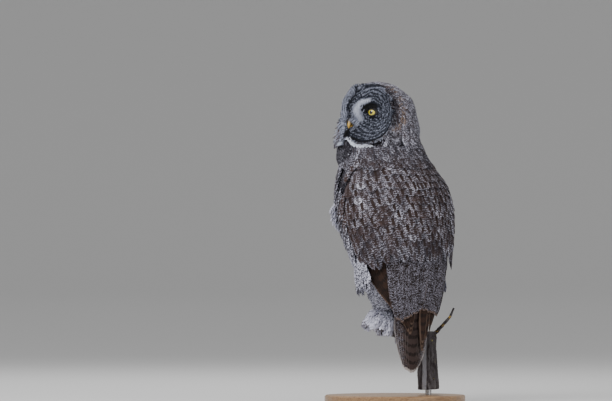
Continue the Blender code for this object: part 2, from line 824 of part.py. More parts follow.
def build_stand(parts):
    """A flat round base and one short rod."""
    finish(cylinder("stand_base", BASE_RADIUS, 0, BASE_THICK, (0, 0), 44, 0.003, parts), OAK, 0.5)
    rod = cylinder(
        "stand_rod", ROD_RADIUS, BASE_THICK + GAP, TRUNK_FOOT.z - GAP - 0.0012, TRUNK_FOOT.xy, 20, 0, parts
    )
    finish(rod, STEEL, 0.3, 1.0)


# Legs and feet

def ball_centre(label):
    return arm_point(FOOT_PLACES[label], 0, ARM_RADIUS + BALL_RADIUS + GAP)


def toe_paths(label):
    """The four toes of a foot, two behind the arm and two before, with their directions."""
    for n, (back, splay) in enumerate(((1, 1), (1, -1), (-1, 1), (-1, -1))):
        path = []
        for k in range(6):
            turn = TOE_TURN[0] + (TOE_TURN[1] - TOE_TURN[0]) * k / 5
            along = FOOT_PLACES[label] + splay * TOE_SPREAD[label] * (0.35 + 0.65 * k / 5)
            path.append(arm_point(along, back * turn, ARM_RADIUS + TOE_RADIUS + GAP * 1.5))
        yield n + 1, path


def build_foot(label, parts):
    """A feathered foot with four toes round the arm, and its claws."""
    builder = bmesh.new()
    bmesh.ops.create_uvsphere(builder, u_segments=10, v_segments=8, radius=BALL_RADIUS)
    bmesh.ops.translate(builder, verts=builder.verts, vec=ball_centre(label))
    foot = new_object(f"foot_{label}", builder, parts)
    toes = []
    for number, path in toe_paths(label):
        radii = [TOE_RADIUS * s for s in (0.95, 1.0, 1.0, 0.98, 0.92, 0.72)]
        toes.append(tube("toe", path, radii, 8, parts))
        ahead = (path[-1] - path[-2]).normalized()
        inward = (arm_point((path[-1] - ARM_MIDDLE).dot(ARM_ALONG)) - path[-1]).normalized()
        claw_path = []
        for k in range(4):
            t = k / 3
            claw_path.append(path[-1] + ahead * (GAP + CLAW_LENGTH * t) + inward * (CLAW_HOOK * t * t - 0.001))
        claw = tube(
            f"claw_{label}_{number}", claw_path, [0.0030, 0.0026, 0.0017, 0.0005], 6, parts
        )
        finish(claw, HORN, 0.3)
    combine(foot, toes, "UNION")
    combine(foot, [arm_solid("cut", GAP, parts), trunk_solid("cut", GAP, parts)], "DIFFERENCE")
    finish(foot, PALE, 0.95)


def leg_solid(label, side, collection):
    """A feathered leg from the belly down to the foot."""
    foot = ball_centre(label)
    hip = Vector((side * HIP_APART, HIP_BACK, HIP_HEIGHT))
    sides = 12
    rings = []
    for k in range(5):
        t = k / 4
        centre = hip.lerp(foot + Vector((0, 0, BALL_RADIUS * 0.4)), t)
        half = THIGH_SWELL * (1 - t) ** 0.8 + LEG_RADIUS
        rings.append([
            centre + Vector((half * math.sin(turn), half * 1.05 * math.cos(turn), 0))
            for turn in (math.tau * n / sides for n in range(sides))
        ])
    return loft(f"leg_{label}", rings, collection)


def build_leg(label, side, parts):
    leg = leg_solid(label, side, parts)
    builder = bmesh.new()
    bmesh.ops.create_uvsphere(builder, u_segments=10, v_segments=8, radius=BALL_RADIUS + GAP)
    bmesh.ops.translate(builder, verts=builder.verts, vec=ball_centre(label))
    ball = new_object("cut", builder, parts)
    combine(leg, [torso_solid("cut", GAP, TORSO_SIDES, parts), ball], "DIFFERENCE")
    finish(leg, PALE, 0.95)


def main():
    clear_scene()
    parts = bpy.data.collections.new("great_grey_owl")
    bpy.context.scene.collection.children.link(parts)
    build_head(parts)
    build_torso(parts)
    for label, side in (("left", 1), ("right", -1)):
        build_wing(side, label, parts)
        build_leg(label, side, parts)
        build_foot(label, parts)
    build_tail(parts)
    build_perch(parts)
    build_stand(parts)


main()
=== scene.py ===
"""Great grey owl on a cut limb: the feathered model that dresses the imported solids.

Metres, +Z up. The breast faces -Y, the bird's left is +X, and the head is turned
to the bird's left. Run as a script, it builds every piece and the stage.
"""

import math

import bmesh
import bpy
import numpy as np
from bpy.props import FloatProperty, FloatVectorProperty, IntProperty, PointerProperty
from mathutils import Matrix, Vector, noise


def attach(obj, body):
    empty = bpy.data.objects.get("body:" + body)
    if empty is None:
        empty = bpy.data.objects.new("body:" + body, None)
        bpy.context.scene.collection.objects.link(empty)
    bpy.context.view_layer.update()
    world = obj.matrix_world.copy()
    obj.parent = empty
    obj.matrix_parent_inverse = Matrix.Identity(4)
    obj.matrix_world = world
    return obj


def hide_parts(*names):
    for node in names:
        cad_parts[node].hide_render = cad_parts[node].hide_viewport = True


bl_info = {
    "name": "Great grey owl model",
    "version": (1, 0, 0),
    "blender": (4, 5, 0),
    "location": "3D View > Sidebar > Owl",
    "description": "Builds the feathers, face, perch and stage of a life-size owl model",
    "category": "Object",
}

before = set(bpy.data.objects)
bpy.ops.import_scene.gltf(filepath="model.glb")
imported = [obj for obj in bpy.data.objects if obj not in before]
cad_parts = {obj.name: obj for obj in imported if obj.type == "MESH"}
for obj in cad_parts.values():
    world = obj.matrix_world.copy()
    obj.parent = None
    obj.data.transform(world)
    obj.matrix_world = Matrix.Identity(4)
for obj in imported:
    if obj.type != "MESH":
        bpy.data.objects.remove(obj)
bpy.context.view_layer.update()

# Outline of the plumage, as in the solids: height, sideways and fore-aft centre, half width, half depth
STATIONS = (
    (0.595, 0.010, -0.050, 0.094, 0.092),
    (0.560, 0.008, -0.038, 0.102, 0.099),
    (0.530, 0.004, -0.026, 0.115, 0.104),
    (0.495, 0.001, -0.014, 0.133, 0.111),
    (0.455, 0.000, -0.005, 0.142, 0.115),
    (0.415, 0.000, 0.003, 0.142, 0.114),
    (0.375, 0.000, 0.012, 0.135, 0.108),
    (0.335, 0.000, 0.022, 0.126, 0.098),
    (0.295, 0.000, 0.032, 0.117, 0.085),
    (0.255, 0.000, 0.042, 0.109, 0.068),
    (0.215, 0.000, 0.052, 0.094, 0.050),
    (0.175, 0.001, 0.060, 0.074, 0.035),
    (0.135, 0.002, 0.066, 0.062, 0.026),
    (0.065, 0.004, 0.070, 0.056, 0.022),
)
# Front edge of the folded wing: height, and the angle round the body from the back in degrees
WING_FRONT = (
    (0.155, 33.0), (0.175, 38.0), (0.233, 60.0), (0.290, 84.0), (0.335, 91.0), (0.385, 94.0), (0.485, 92.0),
    (0.530, 70.0),
)
# Heights between which the torso closes under the belly
BELLY_TOP = 0.325
BELLY_FOOT = 0.236

# Directions: up, the bird's two sides, and one that no limb or toe runs along
UPWARD = np.array((0.0, 0.0, 1.0))
SIDES = {"left": 1, "right": -1}
HELPER = (0.13, 0.21, 0.97)

# Head
HEAD_CENTRE = np.array((0.012, -0.055, 0.640))
HEAD_TURN = math.radians(10)
HEAD_AHEAD = np.array((math.cos(HEAD_TURN), math.sin(HEAD_TURN), 0.0))
HEAD_ASIDE = np.array((-math.sin(HEAD_TURN), math.cos(HEAD_TURN), 0.0))
HEAD_HALF_WIDTH = 0.081
HEAD_BACK = 0.079
HEAD_FRONT = 0.098
HEAD_CROWN = 0.0885
HEAD_BELOW = 0.160
HEAD_JOWL = 0.11
NECK_TOP = 0.591
EYE_APART = 0.034
EYE_FORWARD = 0.0450
EYE_UP = 0.0190
EYE_RADIUS = 0.0115
EYE_SPLAY = math.radians(18)
DISC_FLOOR = 0.047
DISC_RISE = 0.012
DISC_RADIUS = (0.052, 0.062)
DISC_SWEEP = 0.022
FACE_RIDGE = 0.034
FACE_RIDGE_WIDTH = 0.019
FACE_LIP = 0.22
BILL_UPPER = (
    (0.0600, 0.008, 0.0070, 0.0080), (0.0745, 0.006, 0.0064, 0.0070), (0.0845, -0.001, 0.0054, 0.0054),
    (0.0897, -0.010, 0.0036, 0.0036), (0.0902, -0.0175, 0.0010, 0.0010),
)
BILL_LOWER = (
    (0.0600, -0.005, 0.0060, 0.0046), (0.0725, -0.008, 0.0054, 0.0042), (0.0820, -0.012, 0.0040, 0.0030),
    (0.0862, -0.0150, 0.0014, 0.0010),
)
# The white bar under the disc, and the crescents between the eyes, each as (place, place) rows
MOUSTACHE = (
    (0.0, -0.034), (0.004, -0.0372), (0.012, -0.0485), (0.022, -0.0570), (0.034, -0.0590), (0.050, -0.0575),
)
CRESCENT = (
    (-0.012, 0.0165), (0.0, 0.0150), (0.010, 0.0130), (0.022, 0.0125), (0.032, 0.0148), (0.042, 0.0200),
    (0.050, 0.0275), (0.056, 0.0360),
)
# Loose feathers of the face: how many, length, height of the tip, dark and white
WHISKERS = {
    "bar": (620, 0.0120, 0.0040, 0.0, 1.2),
    "chin": (130, 0.0075, 0.0040, 2.0, 0.0),
    "bristle": (560, 0.0195, 0.0008, 0.50, 0.22),
    "crescent": (520, 0.0100, 0.0046, 0.15, 0.66),
}

# Wings and tail
COVERT_TIPS = 0.3190
FLIGHT_ROOT = 0.360
PRIMARY_TIPS = (0.225, 0.181, 0.157, 0.159, 0.177)
PRIMARY_DEPTH = -0.0171
PRIMARY_MIDLINE = 0.0105
TAIL_TOP = 0.307
TAIL_TIP = 0.070
TAIL_DEPTH = -0.0190

# Legs and feet
HIP = (0.046, 0.022, 0.300)
LEG_RADIUS = 0.0135
THIGH_SWELL = 0.036
BALL_RADIUS = 0.014
TOE_RADIUS = 0.0088
TOE_TURN = (math.radians(18), math.radians(114))
CLAW_LENGTH = 0.016
CLAW_HOOK = 0.004
FOOT_PLACES = {"left": 0.055, "right": -0.026}
TOE_SPREAD = {"left": 0.018, "right": 0.014}

# Perch and stand
TRUNK_FOOT = Vector((-0.0711, 0.0310, 0.030))
TRUNK_TOP = Vector((-0.0655, 0.0312, 0.161))
TRUNK_RADIUS = 0.024
ARM_MIDDLE = Vector((-0.010, 0.010, 0.160))
ARM_ALONG = Vector((0.95, -0.31, 0.40)).normalized()
ARM_RADIUS = 0.017
ARM_START = -0.066
ARM_REACH = 0.080
TWIG_PATH = (
    (-0.070, 0.0300, 0.145), (-0.088, 0.0400, 0.161), (-0.100, 0.0490, 0.177), (-0.112, 0.0590, 0.195),
    (-0.118, 0.0650, 0.215),
)
TWIG_RADIUS = 0.0035
GAP = 0.0003

# The camera: where it looks from, and the point of the picture's middle, across and up
VIEW_FROM = np.array((0.5736, 0.8192, 0.0))
VIEW_ACROSS = np.array((-0.8192, 0.5736, 0.0))
VIEW_MIDDLE = (-0.2020, 0.4592)


# Numbers

def smooth(value, start, end):
    """0 before start, 1 after end, smooth between; it takes numbers or arrays."""
    share = np.clip((value - start) / (end - start), 0.0, 1.0)
    return share * share * (3 - 2 * share)


def bell(value, middle, width, power=2):
    """1 where a value is at the middle, falling to 0 beyond the width on both sides."""
    return np.exp(-(((value - middle) / width) ** power))


def stack(*parts):
    """Numbers or arrays side by side in a new last axis."""
    return np.stack(np.broadcast_arrays(*parts), axis=-1)


def read(table, at):
    """Reads a table of (place, value) rows, with straight lines between them."""
    return np.interp(at, *zip(*table))


def soft_least(first, second, width):
    """The lesser of two lengths, rounded over where they cross."""
    mix = np.clip(0.5 + 0.5 * (second - first) / width, 0.0, 1.0)
    return second * (1 - mix) + first * mix - width * mix * (1 - mix) / 2


def table_curve(rows, at):
    """Reads a table of (place, values...) at many places, with a smooth curve between rows."""
    rows = np.array(sorted(rows))
    place, values = rows[:, 0], rows[:, 1:]
    slope = np.empty_like(values)
    slope[1:-1] = (values[2:] - values[:-2]) / (place[2:] - place[:-2])[:, None]
    slope[0] = (values[1] - values[0]) / (place[1] - place[0])
    slope[-1] = (values[-1] - values[-2]) / (place[-1] - place[-2])
    at = np.clip(np.asarray(at, float), place[0], place[-1])
    k = np.clip(np.searchsorted(place, at) - 1, 0, len(place) - 2)
    span = place[k + 1] - place[k]
    t = ((at - place[k]) / span)[..., None]
    span = span[..., None]
    return (
        (2 * t**3 - 3 * t**2 + 1) * values[k] + (t**3 - 2 * t**2 + t) * slope[k] * span
        + (3 * t**2 - 2 * t**3) * values[k + 1] + (t**3 - t**2) * slope[k + 1] * span
    )


def unit(vectors):
    """Vectors of length 1."""
    return vectors / np.maximum(np.linalg.norm(vectors, axis=-1, keepdims=True), 1e-12)


def body_point(angle, height, depth):
    """Points at angles round the body from the back, and at depths out from its outline."""
    row = table_curve(STATIONS, height)
    return stack(
        row[..., 0] + (row[..., 2] + depth) * np.sin(angle),
        row[..., 1] + (row[..., 3] + depth) * np.cos(angle),
        height,
    )


def girth(height):
    """The radius that turns an angle round the body into a distance along it."""
    row = table_curve(STATIONS, height)
    return (row[..., 2] + row[..., 3]) / 2


def back_point(aside, height, depth):
    """Points on the back of the outline at sideways places, and at depths out from it."""
    row = table_curve(STATIONS, height)
    share = np.minimum(np.abs(aside) / (row[..., 2] + depth), 0.99)
    return stack(row[..., 0] + aside, row[..., 1] + (row[..., 3] + depth) * np.sqrt(1 - share**2), height)


def wing_point(aside, height, depth):
    """Points of the outline at distances round it from the back's middle, and at depths out from it."""
    return body_point(aside / girth(height), height, depth)


def wing_front(height):
    """The angle of the wing's front edge."""
    return np.radians(table_curve(WING_FRONT, height)[..., 0])


def face_depth(left, up):
    """How far forward the face lies, as in the solids: dishes, swept rims, a ridge and a lip."""
    across = (np.abs(left) - EYE_APART - 0.004) / DISC_RADIUS[0]
    high = (up - EYE_UP + 0.004) / DISC_RADIUS[1]
    dish = DISC_FLOOR + DISC_RISE * (across**2 + high**2)
    sweep = DISC_SWEEP * smooth(np.abs(left), 0.022, 0.085) * (1 - 0.3 * smooth(-up, 0.0, 0.04))
    ridge = FACE_RIDGE * np.exp(-(np.abs(left / FACE_RIDGE_WIDTH) ** 2.6)) * (1 - smooth(up, 0.030, 0.070))
    ridge = ridge * (1 - 0.4 * bell(up, -0.006, 0.013))
    lip = FACE_LIP * np.maximum(-up - 0.018, 0) * (1 - smooth(np.abs(left), 0.030, 0.080))
    return dish - sweep + ridge + lip


def jowl(up):
    """How much wider the head is at a height."""
    return 1 + HEAD_JOWL * (1 - smooth(up, -0.032, 0.022))


def head_local(direction):
    """Forward, left and up of the head's surface in given directions from its centre."""
    ahead, left, up = direction[..., 0], direction[..., 1], direction[..., 2]
    power = 2.2 + 0.3 * smooth(ahead, 0.1, 0.6)
    reach = (
        np.abs(ahead / np.where(ahead > 0, HEAD_FRONT, HEAD_BACK)) ** power
        + np.abs(left / HEAD_HALF_WIDTH) ** power
        + np.abs(up / np.where(up > 0, HEAD_CROWN, HEAD_BELOW)) ** power
    ) ** (-1 / power)
    up = up * reach
    ahead, left = ahead * reach * jowl(up), left * reach * jowl(up)
    face = soft_least(ahead, face_depth(left, up), 0.008)
    return stack(np.where(ahead > 0, face, ahead), left, up)


def face_local(left, up):
    """Forward, left and up of the face at places seen from in front."""
    power = 2.5
    wide = jowl(up)
    inside = 1 - np.abs(left / HEAD_HALF_WIDTH / wide) ** power
    inside = inside - np.abs(up / np.where(up > 0, HEAD_CROWN, HEAD_BELOW)) ** power
    dome = HEAD_FRONT * wide * np.maximum(inside, 0.02) ** (1 / power)
    return stack(soft_least(dome, face_depth(left, up), 0.008), left, up)


def head_world(local):
    """Turns the head's own forward, left and up into places in the frame, with the top corners of the face
    drawn in, the far one most, and the back's corners fuller."""
    ahead, left, up = local[..., 0], local[..., 1], local[..., 2]
    out = (ahead + np.abs(left)) / math.sqrt(2)
    pull = (0.004 + 0.008 * smooth(-left, -0.01, 0.03)) * smooth(out, 0.030, 0.075) * smooth(up, 0.040, 0.080)
    full = 0.0080 * smooth((np.abs(left) - ahead) / math.sqrt(2), 0.042, 0.080)
    full = full * smooth(up, -0.080, -0.030) * (1 - smooth(up, 0.050, 0.085))
    ahead = ahead - 0.7 * (pull + full)
    left = left + 0.7 * (full - pull) * np.clip(left / 0.02, -1, 1)
    return HEAD_CENTRE + ahead[..., None] * HEAD_AHEAD + left[..., None] * HEAD_ASIDE + up[..., None] * UPWARD


def disc_share(left, up):
    """How far out in the facial disc a place lies: 0 by the eye, 1 at the disc's rim."""
    across = (np.abs(left) - EYE_APART - 0.003) / 0.048
    high = (up - EYE_UP + 0.002) / 0.065
    return np.sqrt(across**2 + high**2)


def eye_share(left, up):
    """How far out from an eye a place lies: 1 at the edge of the lids."""
    return np.hypot((np.abs(left) - EYE_APART - 0.0030) / 0.0094, (up - EYE_UP) / 0.0070)


# Shaders

class Value:
    """A socket of a shader, with arithmetic that adds Math nodes."""

    def __init__(self, paint, socket):
        self.paint = paint
        self.socket = socket

    def _math(self, operation, first, second=None):
        sockets = {0: first} if second is None else {0: first, 1: second}
        return self.paint.add("Math", {"operation": operation}, sockets)

    def __add__(self, other):
        return self._math("ADD", self, other)

    def __radd__(self, other):
        return self._math("ADD", other, self)

    def __sub__(self, other):
        return self._math("SUBTRACT", self, other)

    def __rsub__(self, other):
        return self._math("SUBTRACT", other, self)

    def __mul__(self, other):
        return self._math("MULTIPLY", self, other)

    def __rmul__(self, other):
        return self._math("MULTIPLY", other, self)

    def __abs__(self):
        return self._math("ABSOLUTE", self)

    def sine(self):
        return self._math("SINE", self)

    def most(self, other):
        return self._math("MAXIMUM", self, other)

    def least(self, other):
        return self._math("MINIMUM", self, other)


class Paint:
    """A material's nodes, one method for each kind of use."""

    def __init__(self, name, roughness=0.8, **constants):
        self.material = bpy.data.materials.new(name)
        self.material.use_nodes = True
        self.tree = self.material.node_tree
        self.shader = self.tree.nodes["Principled BSDF"]
        self.set(self.shader, {"Roughness": roughness, **constants})

    def set(self, node, sockets):
        for key, value in sockets.items():
            if isinstance(value, Value):
                self.tree.links.new(value.socket, node.inputs[key])
            else:
                node.inputs[key].default_value = value

    def add(self, kind, settings=None, sockets=None, output=0):
        """Adds a shader node of a kind: its settings first, then the values or links of its sockets."""
        node = self.tree.nodes.new("ShaderNode" + kind)
        for key, value in (settings or {}).items():
            setattr(node, key, value)
        self.set(node, sockets or {})
        return Value(self, node.outputs[output])

    def place(self):
        """Object coordinates."""
        return self.add("TexCoord", output="Object")

    def mapped(self, vector, scale, rotation=(0, 0, 0)):
        """A vector turned and stretched."""
        return self.add("Mapping", {"vector_type": "POINT"}, {
            "Vector": vector, "Rotation": rotation, "Scale": scale,
        })

    def vector(self, operation, first, second=(0, 0, 0), output=0):
        """A Vector Math node; its output 0 is a vector and its output 1 a number."""
        return self.add("VectorMath", {"operation": operation}, {0: first, 1: second}, output)

    def split(self, vector, kind="SeparateXYZ"):
        """The three parts of a vector or a colour."""
        node = self.add(kind, None, {0: vector}).socket.node
        return [Value(self, socket) for socket in node.outputs]

    def uv(self, name):
        return self.add("UVMap", {"uv_map": name})

    def marks(self):
        """The three markings and the random number of the piece's Mark attribute."""
        node = self.add("Attribute", {"attribute_name": "Mark"}).socket.node
        parts = self.split(Value(self, node.outputs["Color"]), "SeparateColor")
        return [*parts, Value(self, node.outputs["Alpha"])]

    def noise(self, vector, scale, detail=2.0, roughness=0.5, distortion=0.0):
        return self.add("TexNoise", None, {
            "Vector": vector, "Scale": scale, "Detail": detail, "Roughness": roughness,
            "Distortion": distortion,
        })

    def step(self, value, low, high, start=0.0, end=1.0):
        """Runs smoothly from start to end while the value runs from low to high."""
        return self.add("MapRange", {"interpolation_type": "SMOOTHSTEP"}, {
            "Value": value, "From Min": low, "From Max": high, "To Min": start, "To Max": end,
        })

    def mix(self, first, second, share):
        """A colour between two; tuples may be given for colours."""
        sockets = {0: share, 6: self.rgba(first), 7: self.rgba(second)}
        return self.add("Mix", {"data_type": "RGBA"}, sockets, output=2)

    def rgba(self, colour):
        return colour if isinstance(colour, Value) else (*tuple(colour)[:3], 1.0)

    def shade(self, colour, amount):
        """A colour made lighter or darker by a value."""
        grey = self.add("CombineColor", None, {0: amount, 1: amount, 2: amount})
        sockets = {0: 1.0, 6: self.rgba(colour), 7: grey}
        return self.add("Mix", {"data_type": "RGBA", "blend_type": "MULTIPLY"}, sockets, output=2)

    def bump(self, height, strength, distance):
        return self.add("Bump", None, {"Height": height, "Strength": strength, "Distance": distance})

    def finish(self, colour, normal=None):
        """The material, with its colour and, where it has one, its relief."""
        self.set(self.shader, {"Base Color": colour})
        if normal is not None:
            self.set(self.shader, {"Normal": normal})
        return self.material


def plumage_material(name, look, fineness=1.0, streak_width=0.34):
    """Body feathers: pale and dark flecked bars across each vane and a dark streak along it."""
    paint = Paint(name, roughness=0.9, **{"Specular IOR Level": 0.15})
    streak, pale, brown, chance = paint.marks()
    across, along, _ = paint.split(paint.uv("Vane"))
    side, down, _ = paint.split(paint.uv("Reach"))
    place = paint.place()
    shift = paint.add("CombineXYZ", None, {"X": chance * 0.37, "Z": chance * 0.61})
    shifted = paint.vector("ADD", place, shift)
    wobble = paint.noise(shifted, 230.0 * fineness, 2.0)
    broad = paint.noise(place, 34.0, 2.0)
    fleck = paint.noise(shifted, 420.0 * fineness, 3.0, 0.6)
    wave = (down * (10.0 * fineness) + abs(side) * 3.0 + (wobble - 0.5) * 15.0 + chance * 6.0).sine()
    bars = paint.step(wave * 0.75 + (fleck - 0.5) * 3.4 + (pale - 0.5) * 1.5, -0.25, 0.50)
    light = paint.mix(look.grey, look.pale, paint.step(pale * 0.9 + (fleck - 0.5) * 0.8, 0.0, 0.8))
    light = paint.mix(light, look.buff, paint.step(brown, 0.86, 0.96) * 0.85)
    dark = paint.mix(look.dark, look.brown, paint.step(brown + (broad - 0.5) * 1.1, 0.15, 0.85))
    coat = paint.mix(dark, light, (bars * (0.78 + pale * 0.4)).least(1.0))
    core = paint.step(abs(across) + (wobble - 0.5) * 0.30, streak_width, streak_width * 0.55)
    reach = paint.step(along, 0.30, 0.45) * paint.step(along + (wobble - 0.5) * 0.2, 1.02, 0.86)
    centre = paint.mix(look.streak, look.brown, brown * 0.55)
    coat = paint.mix(coat, centre, core * reach * streak)
    coat = paint.shade(coat, 0.80 + broad * 0.36 + (chance - 0.5) * 0.18)
    barbs = (side.most(0.0 - side) * 90.0 - down * 130.0).sine()
    return paint.finish(colour=coat, normal=paint.bump(barbs + fleck * 1.5, 0.25, 0.0004))


def face_material(name, look):
    """Facial disc: slate and pale rings whose strengths come with the marks."""
    paint = Paint(name, roughness=0.9, **{"Specular IOR Level": 0.2})
    dark, white, brown, chance = paint.marks()
    place = paint.place()
    fleck = paint.noise(place, 520.0, 2.0, 0.6)
    shade = paint.step(dark + (fleck - 0.5) * 0.45, 0.12, 0.88)
    coat = paint.mix(look.face_pale, look.face_dark, shade)
    coat = paint.mix(coat, look.brown, paint.step(brown + (fleck - 0.5) * 0.3, 0.2, 0.9))
    coat = paint.mix(coat, look.white, paint.step(white + (fleck - 0.5) * 0.3, 0.10, 0.98))
    coat = paint.mix(coat, look.bar_white, paint.step(white, 1.02, 1.16))
    coat = paint.mix(coat, (0.006, 0.006, 0.007), paint.step(dark, 1.25, 1.7))
    coat = paint.shade(coat, 0.88 + chance * 0.24)
    return paint.finish(colour=coat, normal=paint.bump(fleck, 0.3, 0.0004))


def flight_material(name, look, ground, bar, edge, period, worms, edge_from=0.72, rim=0.80):
    """Flight and tail feathers: bars or fine wavy flecks on a ground, with a pale edge."""
    paint = Paint(name, roughness=0.75, **{"Specular IOR Level": 0.12})
    panel, pale, brown, chance = paint.marks()
    across, along, _ = paint.split(paint.uv("Vane"))
    side, down, _ = paint.split(paint.uv("Reach"))
    place = paint.place()
    wobble = paint.noise(place, 180.0, 2.0)
    fine = paint.noise(place, 230.0, 3.0, 0.6, 0.5)
    wave = (down * (6.2832 / period) + abs(side) * 1.2 + (wobble - 0.5) * 3.0 + chance * 6.0).sine()
    banded = paint.mix(ground, bar, paint.step(wave + (fine - 0.5) * 1.2, 0.10, 0.60) * 0.85)
    wavy = (down * 10.5 + (fine - 0.5) * 26.0 + abs(side) * 2.5 + chance * 5.0).sine()
    cloudy = paint.noise(place, 60.0, 2.0)
    light = paint.step(wavy * 0.9 + (fine - 0.5) * 2.4 + (cloudy - 0.5) * 1.8, 0.25, 0.65)
    light = light * paint.step(abs(across) + (wobble - 0.5) * 0.3, 0.05, 0.22, 0.35, 1.0)
    grey = paint.mix(look.bar_brown, look.bar_pale, light)
    coat = paint.mix(banded, grey, paint.step(panel * worms + (fine - 0.5) * 0.4, 0.35, 0.65))
    coat = paint.mix(coat, look.bar_brown, paint.step(brown, 0.82, 0.98) * 0.55)
    fringe = paint.step(abs(across) + (wobble - 0.5) * 0.08, rim, rim + 0.13)
    fringe = fringe * paint.step(along, 0.35, edge_from)
    fringe = fringe.most(paint.step(along + (wobble - 0.5) * 0.03, 0.965, 0.985))
    coat = paint.mix(coat, edge, fringe * pale)
    coat = paint.mix(coat, look.brown, paint.step(abs(across), 0.06, 0.025) * 0.8)
    coat = paint.shade(coat, 0.86 + chance * 0.22)
    barbs = (side.most(0.0 - side) * 60.0 - down * 90.0).sine()
    return paint.finish(colour=coat, normal=paint.bump(barbs, 0.3, 0.0003))


# Feather meshes

def leaf(columns, rows):
    """A closed leaf: s across from -1 to 1, t along from 0 to 1, and k, its upper or under side."""
    builder = bmesh.new()
    bmesh.ops.create_grid(builder, x_segments=columns, y_segments=rows, size=1)
    inner = [vertex for vertex in builder.verts if not vertex.is_boundary]
    twin = bmesh.ops.duplicate(builder, geom=builder.verts[:] + builder.edges[:] + builder.faces[:])
    under = [twin["vert_map"][vertex] for vertex in inner]
    turned = [piece for piece in twin["geom"] if isinstance(piece, bmesh.types.BMFace)]
    bmesh.ops.reverse_faces(builder, faces=turned)
    bmesh.ops.translate(builder, verts=inner, vec=(0, 0, 1))
    bmesh.ops.translate(builder, verts=under, vec=(0, 0, -1))
    bmesh.ops.remove_doubles(builder, verts=builder.verts, dist=0.0001)
    builder.verts.index_update()
    places = np.array([vertex.co for vertex in builder.verts])
    corners = [[vertex.index for vertex in face.verts] for face in builder.faces]
    builder.free()
    return {
        "s": places[:, 0], "t": (places[:, 1] + 1) / 2, "k": places[:, 2],
        "corners": np.array([index for face in corners for index in face]),
        "totals": np.array([len(face) for face in corners]),
    }


def contour(t, root=0.35, taper=0.62, blunt=0.92):
    """A body feather's width along it: a narrow root and a rounded tip."""
    end = np.clip((t - taper) / (1 - taper), 0.0, 1.0)
    return (root + (1 - root) * smooth(t, 0.0, 0.45)) * np.sqrt(1 - blunt * end**2)


def oval(middle, reach):
    """A function for the width of a small feather with two rounded ends."""
    return lambda t: np.sqrt(np.maximum(1 - ((t - middle) / reach) ** 2, 0.02))


def curl(t, root, tip):
    """How far out a feather stands along its length, most of the way soon after its root."""
    return root + (tip - root) * (1 - np.maximum(1 - t, 0) ** 1.5)


def ragged(shape, count, amount, rng):
    """How much further or less far each point of a feather's end reaches."""
    return rng.normal(0, amount, (count, len(shape["t"]))) * smooth(shape["t"], 0.70, 1.0)


def lay_on_body(shape, spots, rng, camber=0.10, thick=0.0007, rough=0.03, point_at=body_point):
    """Places leaves along the body's outline. The spots are angle, height, drift, half width, length,
    and depths at root and tip, each a number or an array."""
    angle, height, drift, half, length, root, tip = [part[:, None] for part in np.broadcast_arrays(*spots)]
    s, t, k = shape["s"], shape["t"], shape["k"]
    width = contour(t)
    down = (t + ragged(shape, len(angle), rough, rng)) * length
    side = s * width * half
    start = point_at(angle, height, 0.0)
    fall = 0.004 / np.linalg.norm(point_at(angle, height - 0.004, 0.0) - start, axis=-1)
    rate = np.linalg.norm(point_at(angle + 0.02, height, 0.0) - start, axis=-1) / 0.02
    across = side * np.cos(drift) + down * np.sin(drift)
    below = down * np.cos(drift) - side * np.sin(drift)
    depth = curl(t, root, tip) - camber * half * width * s**2 + k * thick * (1 - 0.5 * t)
    points = point_at(angle + across / rate, height - below * fall, depth)
    return points, stack(side, down)


def lay_on_frames(shape, origin, normal, lie, sizes, rng, bend, thick=0.0005, outline=contour):
    """Places leaves at points of the skin, each along its lie and bent to the skin's curve. The sizes
    are half width, length, and heights at root and tip, each a number or an array."""
    s, t, k = shape["s"], shape["t"], shape["k"]
    half, length, root, tip, bend = [np.broadcast_to(part, len(origin))[:, None] for part in (*sizes, bend)]
    lie = unit(lie - normal * np.sum(lie * normal, axis=-1, keepdims=True))
    aside = np.cross(lie, normal)
    width = outline(t)
    down = (t + ragged(shape, len(origin), 0.04, rng)) * length
    side = s * width * half
    rise = curl(t, root, tip) - (down**2 + side**2) / (2 * bend)
    rise = rise - 0.10 * half * width * s**2 + k * thick * (1 - 0.5 * t)
    points = (
        origin[:, None, :] + aside[:, None, :] * side[..., None] + lie[:, None, :] * down[..., None]
        + normal[:, None, :] * rise[..., None]
    )
    return points, stack(side, down)


